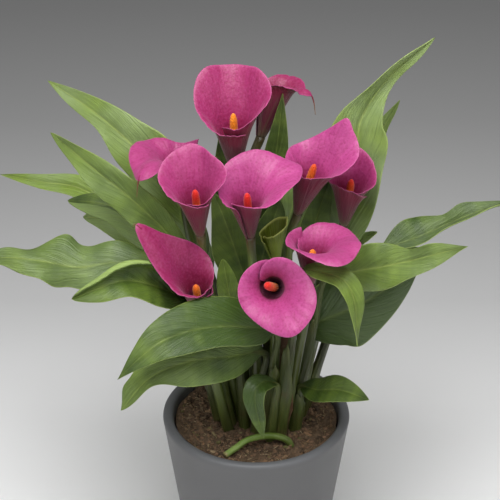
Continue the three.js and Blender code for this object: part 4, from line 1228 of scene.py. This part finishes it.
class Finish:
    """A material, with short ways to add the nodes that it is made of.

    shine is the strength of its highlights. colour holds what has been mixed so far.
    """

    def __init__(self, name, shine, **sockets):
        self.material = bpy.data.materials.new(name)
        self.material.use_nodes = True
        self.tree = self.material.node_tree
        self.shader = self.tree.nodes["Principled BSDF"]
        self.shader.inputs["Specular IOR Level"].default_value = shine
        for key, value in sockets.items():
            self.shader.inputs[key.replace("_", " ").title()].default_value = value

    def put(self, socket, value):
        if isinstance(value, bpy.types.NodeSocket):
            self.tree.links.new(value, socket)
        elif socket.type == "RGBA" and len(value) == 3:
            socket.default_value = (*value, 1)
        else:
            socket.default_value = value

    def add(self, kind, inputs=(), output=0, **settings):
        node = self.tree.nodes.new("ShaderNode" + kind)
        for key, value in settings.items():
            setattr(node, key, value)
        for key, value in dict(inputs).items():
            self.put(node.inputs[key], value)
        return node.outputs[output]

    def sum(self, operation, *values, clamp=False):
        return self.add("Math", enumerate(values), operation=operation, use_clamp=clamp)

    def plus(self, a, b, clamp=False):
        return self.sum("ADD", a, b, clamp=clamp)

    def times(self, a, b):
        return self.sum("MULTIPLY", a, b)

    def scaled(self, measure, gain, shift, clamp=False):
        return self.sum("MULTIPLY_ADD", measure, gain, shift, clamp=clamp)

    def level(self, measure, gain, shift):
        """A measure scaled, shifted and kept from 0 to 1."""
        return self.scaled(measure, gain, shift, clamp=True)

    def near_one(self, measure, sharp):
        """1 where a measure is 1, down to 0 where it is 1 / sharp less."""
        return self.level(measure, sharp, 1 - sharp)

    def blend(self, share, low, high):
        return self.add("Mix", {0: share, 6: low, 7: high}, output=2, data_type="RGBA")

    def tint(self, colour, share, amount=None):
        """Takes the colour mixed so far towards another, by an amount of a share."""
        if amount is not None:
            share = self.times(share, amount)
        self.colour = self.blend(share, self.colour, colour)

    def ramp(self, share, *stops):
        """A run of colours, each with its place."""
        node = self.tree.nodes.new("ShaderNodeValToRGB")
        self.put(node.inputs[0], share)
        row = node.color_ramp.elements
        while len(row) < len(stops):
            row.new(0.5)
        for made, (place, colour) in zip(row, stops):
            made.position = place
            made.color = (*colour, 1)
        return node.outputs[0]

    def field(self, name):
        return self.add("Attribute", output="Fac", attribute_name=name)

    def spots(self, size, detail=3, stretch=None):
        """Cloudy noise in the piece's own space, about size metres to a cloud."""
        where = self.add("TexCoord", output="Object")
        if stretch:
            where = self.add("Mapping", {"Vector": where, "Scale": stretch})
        return self.add("TexNoise", {"Vector": where, "Scale": 1 / size, "Detail": detail})

    def split(self, where):
        node = self.tree.nodes.new("ShaderNodeSeparateXYZ")
        self.put(node.inputs[0], where)
        return node.outputs

    def place(self):
        """The three directions of the piece's own space."""
        return self.split(self.add("TexCoord", output="Object"))

    def run(self):
        """The two directions of the piece's own map: across and along."""
        return self.split(self.add("UVMap", uv_map="run"))[:2]

    def grain(self, across, along, count, stretch, detail=3, low=0.35, high=0.65):
        """Long soft streaks, count of them to the whole width of the map."""
        spread = {0: self.times(across, count), 1: self.times(along, stretch)}
        where = self.add("CombineXYZ", spread)
        made = self.add("TexNoise", {"Vector": where, "Scale": 1.0, "Detail": detail})
        width = 1 / (high - low)
        return self.level(made, width, -low * width)

    def lines(self, where, count, sway, sharp):
        """Thin swaying lines where a measure passes each whole part of 1 / count."""
        wave = self.sum("SINE", self.plus(self.times(where, 2 * math.pi * count), sway))
        return self.sum("POWER", self.scaled(wave, 0.5, 0.5), sharp)

    def done(self, roughness, *relief):
        """The material. Its relief is pairs of height and depth in metres, the broadest first."""
        self.put(self.shader.inputs["Base Color"], self.colour)
        self.put(self.shader.inputs["Roughness"], roughness)
        below = {}
        for height, depth in relief:
            below = {"Normal": self.add("Bump", {"Height": height, "Distance": depth, **below})}
        for name, normal in below.items():
            self.put(self.shader.inputs[name], normal)
        return self.material


WAXY = dict(coat_weight=0.15, coat_roughness=0.3)
VEINS = dict(bend=0.42, curve=0.75, rib=26, margin=30)
EDGE = dict(sharp=40, amount=0.5)
# How dark the painted shade on the stalks is, as a share of their green
SHADED = 0.3
CELLS = 800


def vein_pattern(finish):
    """The veins of a blade, the nearness to its middle rib, and to its margin."""
    across, along = finish.run()
    away = finish.sum("ABSOLUTE", finish.scaled(across, 2, -1))
    bent = finish.times(finish.sum("POWER", away, VEINS["curve"]), VEINS["bend"])
    where = finish.sum("SUBTRACT", along, bent)
    veins = finish.grain(where, away, count=46, stretch=1.2, detail=2, low=0.42, high=0.66)
    fine = finish.grain(where, away, count=170, stretch=2.5, detail=2)
    rib = finish.sum("POWER", finish.sum("SUBTRACT", 1, away, clamp=True), VEINS["rib"])
    return veins, fine, rib, finish.near_one(away, VEINS["margin"])


def leaf_upper_finish(setting):
    finish = Finish("leaf upper face", 0.4, coat_weight=0.12, coat_roughness=0.3)
    veins, fine, rib, margin = vein_pattern(finish)
    mottle, grain, broad = finish.spots(0.028, 4), finish.spots(0.004, 4), finish.spots(0.02, 2)
    bands = finish.grain(finish.run()[1], 0, count=7, stretch=1)
    # Painted light and shade: mottle and bands join the leaf's share of painted light, which blends
    # the shaded green into the lit green; the rib shows more where it is lit
    fresh = finish.plus(finish.scaled(mottle, 0.9, -0.45), finish.scaled(bands, 0.4, -0.2))
    fresh = finish.plus(finish.field("fresh"), fresh, clamp=True)
    haze = finish.times(finish.level(finish.spots(0.05, 2), 1.8, -0.5), finish.field("haze"))
    finish.colour = finish.blend(fresh, setting.deep, setting.fresh)
    finish.tint(setting.deep, veins, 0.24)
    finish.tint(setting.vein, fine, 0.09)
    finish.tint(setting.haze, haze, 0.75)
    finish.tint(setting.deep, grain, 0.12)
    finish.tint(setting.rib, rib, finish.scaled(fresh, 0.6, 0.2))
    finish.tint(setting.rib, margin, 0.4)
    height = finish.plus(finish.times(veins, -0.8), finish.times(fine, -0.3))
    rough = finish.scaled(mottle, 0.3, 0.22)
    return finish.done(rough, (broad, 0.0012), (grain, 0.00025), (height, 0.00045))


def leaf_lower_finish(setting):
    finish = Finish("leaf lower face", 0.35)
    veins, fine, rib, margin = vein_pattern(finish)
    mottle = finish.spots(0.02, 4)
    # Painted light and shade: the leaf's share of painted light, with mottle, blends the shaded
    # green into the lit green
    fresh = finish.plus(finish.field("fresh"), finish.scaled(mottle, 0.4, -0.1), clamp=True)
    finish.colour = finish.blend(fresh, setting.deep, setting.fresh)
    finish.tint(setting.haze, 0.3)
    finish.tint(setting.vein, veins, 0.35)
    finish.tint(setting.rib, rib, 0.8)
    finish.tint(setting.rib, margin, 0.4)
    height = finish.plus(veins, finish.times(fine, 0.4))
    return finish.done(finish.scaled(mottle, 0.2, 0.5), (height, 0.0003))


def stalk_marks(finish):
    """Long thin streaks up a stalk, its ridges, and long patches where painted shade darkens a
    stalk as if in the shade of others.
    """
    streak = finish.spots(0.004, detail=4, stretch=(1, 1, 0.06))
    ridge = finish.grain(*finish.run(), count=24, stretch=2.5, low=0.38, high=0.62)
    cloud = finish.spots(0.014, detail=1, stretch=(1, 1, 0.12))
    apart = finish.level(cloud, 2.4, -0.95)
    return streak, ridge, apart


def stalk_finish(setting):
    finish = Finish("leaf stalk", 0.45, **WAXY)
    streak, ridge, apart = stalk_marks(finish)
    mottle, pale = finish.spots(0.02), between(setting.stalk, setting.rib, 0.24)
    finish.colour = finish.ramp(
        finish.field("rise"), (0, TINTS["leaf_foot"]), (0.1, setting.stalk), (0.75, setting.stalk),
        (1, pale),
    )
    finish.tint(setting.deep, ridge, 0.75)
    finish.tint(pale, finish.level(streak, 1.2, -0.5))
    finish.tint(TINTS["blotch"], finish.level(mottle, 2, -1.2))
    # Painted shade: a darker copy of the stalk green over long patches
    finish.tint(toned(setting.stalk, SHADED), apart)
    height = finish.sum("SUBTRACT", streak, ridge)
    return finish.done(finish.scaled(mottle, 0.25, 0.32), (height, 0.0006))


def flower_stalk_finish(setting):
    finish = Finish("flower stalk", 0.45, **WAXY)
    streak, ridge, apart = stalk_marks(finish)
    mottle, pale = finish.spots(0.018), between(setting.stalk, setting.rib, 0.25)
    finish.colour = finish.ramp(
        finish.field("rise"), (0, TINTS["flower_foot"]), (0.12, setting.stalk), (0.6, pale),
        (0.9, pale), (0.97, TINTS["collar"]), (1, TINTS["collar_top"]),
    )
    finish.tint(setting.deep, ridge, 0.6)
    finish.tint(setting.deep, streak, 0.3)
    # Painted shade: a darker copy of the stalk green over long patches
    finish.tint(toned(setting.stalk, SHADED), apart)
    return finish.done(finish.scaled(mottle, 0.25, 0.3), (streak, 0.0004))


def old_stalk_finish():
    finish = Finish("old stalk", 0.35)
    streak = finish.spots(0.003, detail=4, stretch=(0.15, 0.6, 1))
    mottle = finish.spots(0.012, detail=4)
    finish.colour = finish.ramp(finish.field("rise"), *OLD_STALK_RUN)
    finish.tint(TINTS["old_pale"], finish.level(mottle, 2, -0.9))
    finish.tint(TINTS["old_streak"], streak, 0.3)
    return finish.done(0.4, (streak, 0.0004))


def papery_finish():
    finish = Finish("papery sheath", 0.25)
    sway = finish.times(finish.spots(0.01), 6)
    fibres = finish.lines(finish.run()[0], count=26, sway=sway, sharp=2)
    mottle = finish.spots(0.009, 5)
    finish.colour = finish.ramp(finish.field("rise"), *PAPER_RUN)
    finish.tint(TINTS["paper_fibre"], fibres, 0.45)
    finish.tint(TINTS["paper_pale"], finish.level(mottle, 2.2, -1))
    return finish.done(0.7, (finish.plus(fibres, mottle), 0.0005))


def wall_finish(setting):
    """The inside of a spathe: velvety pink with fine veins and painted glints, dark throat and thin
    pale margin.
    """
    finish = Finish(
        "spathe inside", 0.45, sheen_weight=0.22, sheen_roughness=0.4, sheen_tint=(1, 0.5, 0.75, 1)
    )
    across, along = finish.run()
    cloud, velvet_glints = finish.spots(0.035), finish.spots(0.0022, 4)
    depth = finish.plus(finish.field("depth"), finish.scaled(cloud, 0.3, -0.15))
    pink = finish.blend(finish.field("pale"), setting.lit, setting.pale)
    inside = finish.ramp(
        finish.times(depth, 0.4), (0, setting.throat), (0.23, setting.throat), (0.29, setting.deep),
        (1, setting.deep),
    )
    finish.colour = finish.blend(finish.level(depth, 1.6, -1.2), inside, pink)
    streak = finish.grain(across, along, count=70, stretch=2.2)
    fine = finish.grain(across, along, count=240, stretch=5, detail=2)
    broad = finish.grain(across, along, count=9, stretch=1.2, detail=2, low=0.3, high=0.7)
    finish.tint(setting.deep, streak, 0.22)
    finish.tint(setting.deep, broad, 0.16)
    finish.tint(setting.edge, fine, 0.1)
    finish.tint(setting.edge, finish.near_one(finish.field("wall"), EDGE["sharp"]), EDGE["amount"])
    # Painted glints: pale specks over the velvety grain, and darker specks where the grain is low
    finish.tint(setting.edge, finish.level(velvet_glints, 3.2, -1.6), 0.32)
    finish.tint(setting.deep, finish.level(velvet_glints, -2, 0.95))
    height = finish.plus(streak, finish.times(fine, 0.5))
    dents = finish.spots(0.012, 2)
    rough = finish.scaled(cloud, 0.2, 0.38)
    return finish.done(rough, (dents, 0.0012), (velvet_glints, 0.0003), (height, 0.0001))


def outside_finish(setting):
    """The outside of a spathe: a dark maroon tube with greenish stripes that turns pink above."""
    finish = Finish("spathe outside", 0.4, sheen_weight=0.15, sheen_roughness=0.4)
    across, along = finish.run()
    cloud, dents = finish.spots(0.02), finish.spots(0.0012, 2)
    depth = finish.plus(finish.field("depth"), finish.scaled(cloud, 0.4, -0.2))
    rosy = between(setting.deep, setting.lit, 0.6)
    finish.colour = finish.ramp(
        finish.times(depth, 0.4), (0, TINTS["tube_foot"]), (0.1, setting.tube),
        (0.34, setting.tube), (0.5, setting.deep), (0.75, rosy), (1, rosy),
    )
    finish.tint(setting.lit, finish.field("pale"), 0.22)
    stripes = finish.grain(across, along, count=34, stretch=1.6, detail=2, low=0.45, high=0.6)
    stripes = finish.times(stripes, finish.level(depth, -1.1, 1.1))
    finish.tint(TINTS["tube_stripe"], stripes, 0.45)
    streak = finish.grain(across, along, count=80, stretch=2)
    finish.tint(setting.tube, streak, 0.35)
    finish.tint(setting.edge, finish.near_one(finish.field("wall"), EDGE["sharp"]), EDGE["amount"])
    return finish.done(finish.scaled(cloud, 0.2, 0.32), (dents, 0.00006), (streak, 0.0003))


def young_finish(setting):
    """The young bloom: a yellow-green rolled wall with veins and a bright margin."""
    finish = Finish("young bloom", 0.4)
    sway = finish.times(finish.spots(0.012, 2), 5)
    veins = finish.lines(finish.run()[0], count=40, sway=sway, sharp=3)
    dark = toned(setting.young, 0.4)
    finish.colour = finish.blend(finish.spots(0.012), dark, setting.young)
    finish.tint(dark, veins, 0.4)
    finish.tint(TINTS["young_edge"], finish.near_one(finish.field("wall"), 14), 0.8)
    return finish.done(0.45, (veins, 0.0003))


def tip_finish(setting):
    finish = Finish("dry tip", 0.3)
    grain = finish.spots(0.0015)
    finish.colour = finish.ramp(
        finish.field("wall"), (0, setting.lit), (0.3, setting.deep), (0.6, TINTS["thread_brown"]),
        (1, TINTS["thread_end"]),
    )
    finish.tint(TINTS["thread_grain"], grain, 0.4)
    return finish.done(0.6, (grain, 0.0003))


def spadix_finish(setting):
    """The spadix: tight round flowers, orange below and red above, dusted with pollen."""
    finish = Finish("spadix", 0.35, sheen_weight=0.2)
    rise, redness = finish.field("rise"), finish.field("redness")
    share = finish.level(rise, 2.2, finish.scaled(redness, 2.2, -2.5))
    pollen = finish.level(finish.spots(0.0016, 2), 4, -2.1)
    where = finish.add("TexCoord", output="Object")
    cells = finish.add("TexVoronoi", {"Vector": where, "Scale": CELLS})
    finish.colour = finish.blend(share, setting.orange, setting.red)
    finish.tint(TINTS["pollen"], pollen, finish.sum("SUBTRACT", 0.6, redness, clamp=True))
    finish.tint(TINTS["between"], cells, 0.3)
    return finish.done(0.5, (finish.sum("SUBTRACT", 1, cells), 0.0005))


def pot_finish(setting):
    """The pot: a matt grey wall with a fine grain, a slightly paler lip of painted reflection and
    faint marks.
    """
    finish = Finish("pot wall", 0.4)
    grain, cloud, specks = finish.spots(0.0011, 4), finish.spots(0.05, 4), finish.spots(0.0028, 2)
    # Painted reflection: above the lip line the grey turns to the paler lip colour
    lip = finish.level(finish.place()[2], LIP_LINE["sharp"], -LIP_LINE["sharp"] * LIP_LINE["start"])
    darker = toned(setting.wall, 0.8)
    finish.colour = finish.blend(lip, setting.wall, setting.lip)
    finish.tint(darker, cloud, 0.35)
    finish.tint(darker, finish.level(specks, 4, -2.6))
    return finish.done(finish.scaled(cloud, 0.16, 0.4), (grain, setting.grain * 2))


def earth_finish(setting):
    finish = Finish("damp soil", 0.3)
    grit, clods, damp = finish.spots(0.0022, 5), finish.spots(0.009, 4), finish.spots(0.03)
    finish.colour = finish.blend(clods, toned(setting.earth, 0.4), setting.earth)
    finish.tint(setting.crumb, finish.level(grit, 2.4, -1.2))
    finish.tint(TINTS["moss"], finish.level(finish.spots(0.013), 4, -2.5), 0.6)
    height = finish.plus(clods, finish.times(grit, 0.5))
    return finish.done(finish.scaled(damp, -0.35, 1.0), (height, 0.002))


def grain_finish(name, stops, earth, amount, roughness, depth, size=0.0016, detail=4):
    """What lies on the soil: each grain has its shade from a run of colours, with earth on it."""
    finish = Finish(name, 0.3)
    grit = finish.spots(size, detail)
    finish.colour = finish.ramp(finish.field("shade"), *stops)
    finish.tint(earth, grit, amount)
    return finish.done(roughness, (grit, depth))


def crumb_finish(setting):
    stops = (
        (0, toned(setting.earth, 0.25)), (0.5, setting.earth), (0.86, setting.crumb),
        (0.93, toned(setting.crumb, 1.4)), (1, TINTS["green_crumb"]),
    )
    return grain_finish(
        "soil crumb", stops, setting.earth, amount=0.5, roughness=0.85, depth=0.0008,
        size=0.0014, detail=3,
    )


def bark_finish(setting):
    stops = (
        (0, toned(setting.bark, 0.25)), (0.6, setting.bark), (0.9, TINTS["pale_bark"]),
        (1, TINTS["green_bark"]),
    )
    return grain_finish(
        "bark and fibres", stops, setting.earth, amount=0.6, roughness=0.8, depth=0.0008
    )


def straw_finish(setting):
    stops = (
        (0, setting.earth), (0.4, setting.bark), (0.7, TINTS["straw"]), (1, TINTS["pale_straw"])
    )
    return grain_finish("straw", stops, setting.earth, amount=0.4, roughness=0.7, depth=0.0005)


def floor_finish(setting):
    """The studio floor, pale in front and evenly darker towards the back: painted shade for the
    light falling off with distance.
    """
    finish = Finish("pale floor", 0.1)
    back = finish.sum("MULTIPLY", finish.place()[1], 0.5, clamp=True)
    cloud = finish.scaled(finish.spots(0.6, 2), 0.02, -0.01)
    shades = [(place, toned(setting.floor, share)) for place, share in FLOOR_PAINTED_SHADE]
    finish.colour = finish.ramp(finish.plus(back, cloud), *shades)
    return finish.done(0.9)


# The stage


def make_stage(setting):
    """The pale floor, the soft lights and the camera at the photograph's angle."""
    scene = bpy.context.scene
    mesh = bmesh.new()
    steps = FLOOR["segments"]
    bmesh.ops.create_grid(mesh, x_segments=steps, y_segments=steps, size=FLOOR["size"])
    placed("floor", mesh, [floor_finish(setting)])

    for name, (place, size, power) in LIGHTS.items():
        lamp = bpy.data.lights.new(name, "AREA")
        lamp.size = size
        lamp.energy = getattr(setting, power)
        holder = bpy.data.objects.new(name, lamp)
        holder.location = place
        toward = Vector(LIGHT_AIM) - Vector(place)
        holder.rotation_euler = toward.to_track_quat("-Z", "Y").to_euler()
        scene.collection.objects.link(holder)
    world = bpy.data.worlds.new("soft light")
    scene.world = world
    world.use_nodes = True
    shade = world.node_tree.nodes["Background"]
    shade.inputs["Color"].default_value = (1, 1, 1, 1)
    shade.inputs["Strength"].default_value = setting.sky

    lens = bpy.data.cameras.new("camera")
    lens.sensor_width = CAMERA["sensor"]
    lens.lens = CAMERA["sensor"] * CAMERA["focal"] / CAMERA["pixels"]
    camera = bpy.data.objects.new("camera", lens)
    pitch = math.radians(CAMERA["pitch"])
    back = Vector((0, -math.cos(pitch), math.sin(pitch)))
    camera.location = Vector(CAMERA["target"]) + back * CAMERA["away"]
    camera.rotation_euler = (math.pi / 2 - pitch, 0, 0)
    scene.collection.objects.link(camera)
    scene.camera = camera
    scene.view_settings.view_transform = "Standard"


# The operators and their panel


class MakePot(bpy.types.Operator):
    """Builds the smooth pot."""

    bl_idname = "calla.make_pot"
    bl_label = "Make Pot"

    def execute(self, context):
        make_pot(context.scene.calla_pot)
        return {"FINISHED"}


class MakeSoil(bpy.types.Operator):
    """Builds the soil with its crumbs, bark chips and fibres."""

    bl_idname = "calla.make_soil"
    bl_label = "Make Soil"

    def execute(self, context):
        make_soil(context.scene.calla_soil)
        return {"FINISHED"}


class MakeOldGrowth(bpy.types.Operator):
    """Builds the old stalk and the sheaths round the stalks' feet."""

    bl_idname = "calla.make_old_growth"
    bl_label = "Make Old Growth"

    def execute(self, context):
        make_old_growth(context.scene.calla_leaf)
        return {"FINISHED"}


class MakeLeaves(bpy.types.Operator):
    """Builds each leaf with its blade and stalk."""

    bl_idname = "calla.make_leaves"
    bl_label = "Make Leaves"

    def execute(self, context):
        make_leaves(context.scene.calla_leaf)
        return {"FINISHED"}


class MakeBlooms(bpy.types.Operator):
    """Builds the ten blooms and the young one."""

    bl_idname = "calla.make_blooms"
    bl_label = "Make Blooms"

    def execute(self, context):
        make_blooms(context.scene.calla_bloom, context.scene.calla_leaf)
        return {"FINISHED"}


class MakeStage(bpy.types.Operator):
    """Builds the floor, the lights and the camera."""

    bl_idname = "calla.make_stage"
    bl_label = "Make Stage"

    def execute(self, context):
        make_stage(context.scene.calla_stage)
        return {"FINISHED"}


OPERATORS = (MakeStage, MakePot, MakeSoil, MakeOldGrowth, MakeLeaves, MakeBlooms)


class CallaPanel(bpy.types.Panel):
    """Lists the settings and the operators in the sidebar."""

    bl_idname = "VIEW3D_PT_calla"
    bl_label = "Potted calla lily"
    bl_space_type = "VIEW_3D"
    bl_region_type = "UI"
    bl_category = "Calla"

    def draw(self, context):
        for name in SETTINGS:
            settings = getattr(context.scene, name)
            box = self.layout.box()
            for key in settings.bl_rna.properties.keys():
                if key not in ("rna_type", "name"):
                    box.prop(settings, key)
        for operator in OPERATORS:
            self.layout.operator(operator.bl_idname)


CLASSES = (*SETTINGS.values(), *OPERATORS, CallaPanel)


def register():
    for made in CLASSES:
        bpy.utils.register_class(made)
    for name, group in SETTINGS.items():
        setattr(bpy.types.Scene, name, bpy.props.PointerProperty(type=group))


def unregister():
    for name in SETTINGS:
        delattr(bpy.types.Scene, name)
    for made in reversed(CLASSES):
        bpy.utils.unregister_class(made)


def main():
    register()
    bpy.ops.calla.make_stage()
    bpy.ops.calla.make_pot()
    bpy.ops.calla.make_soil()
    bpy.ops.calla.make_old_growth()
    bpy.ops.calla.make_leaves()
    bpy.ops.calla.make_blooms()


if __name__ == "__main__":
    main()
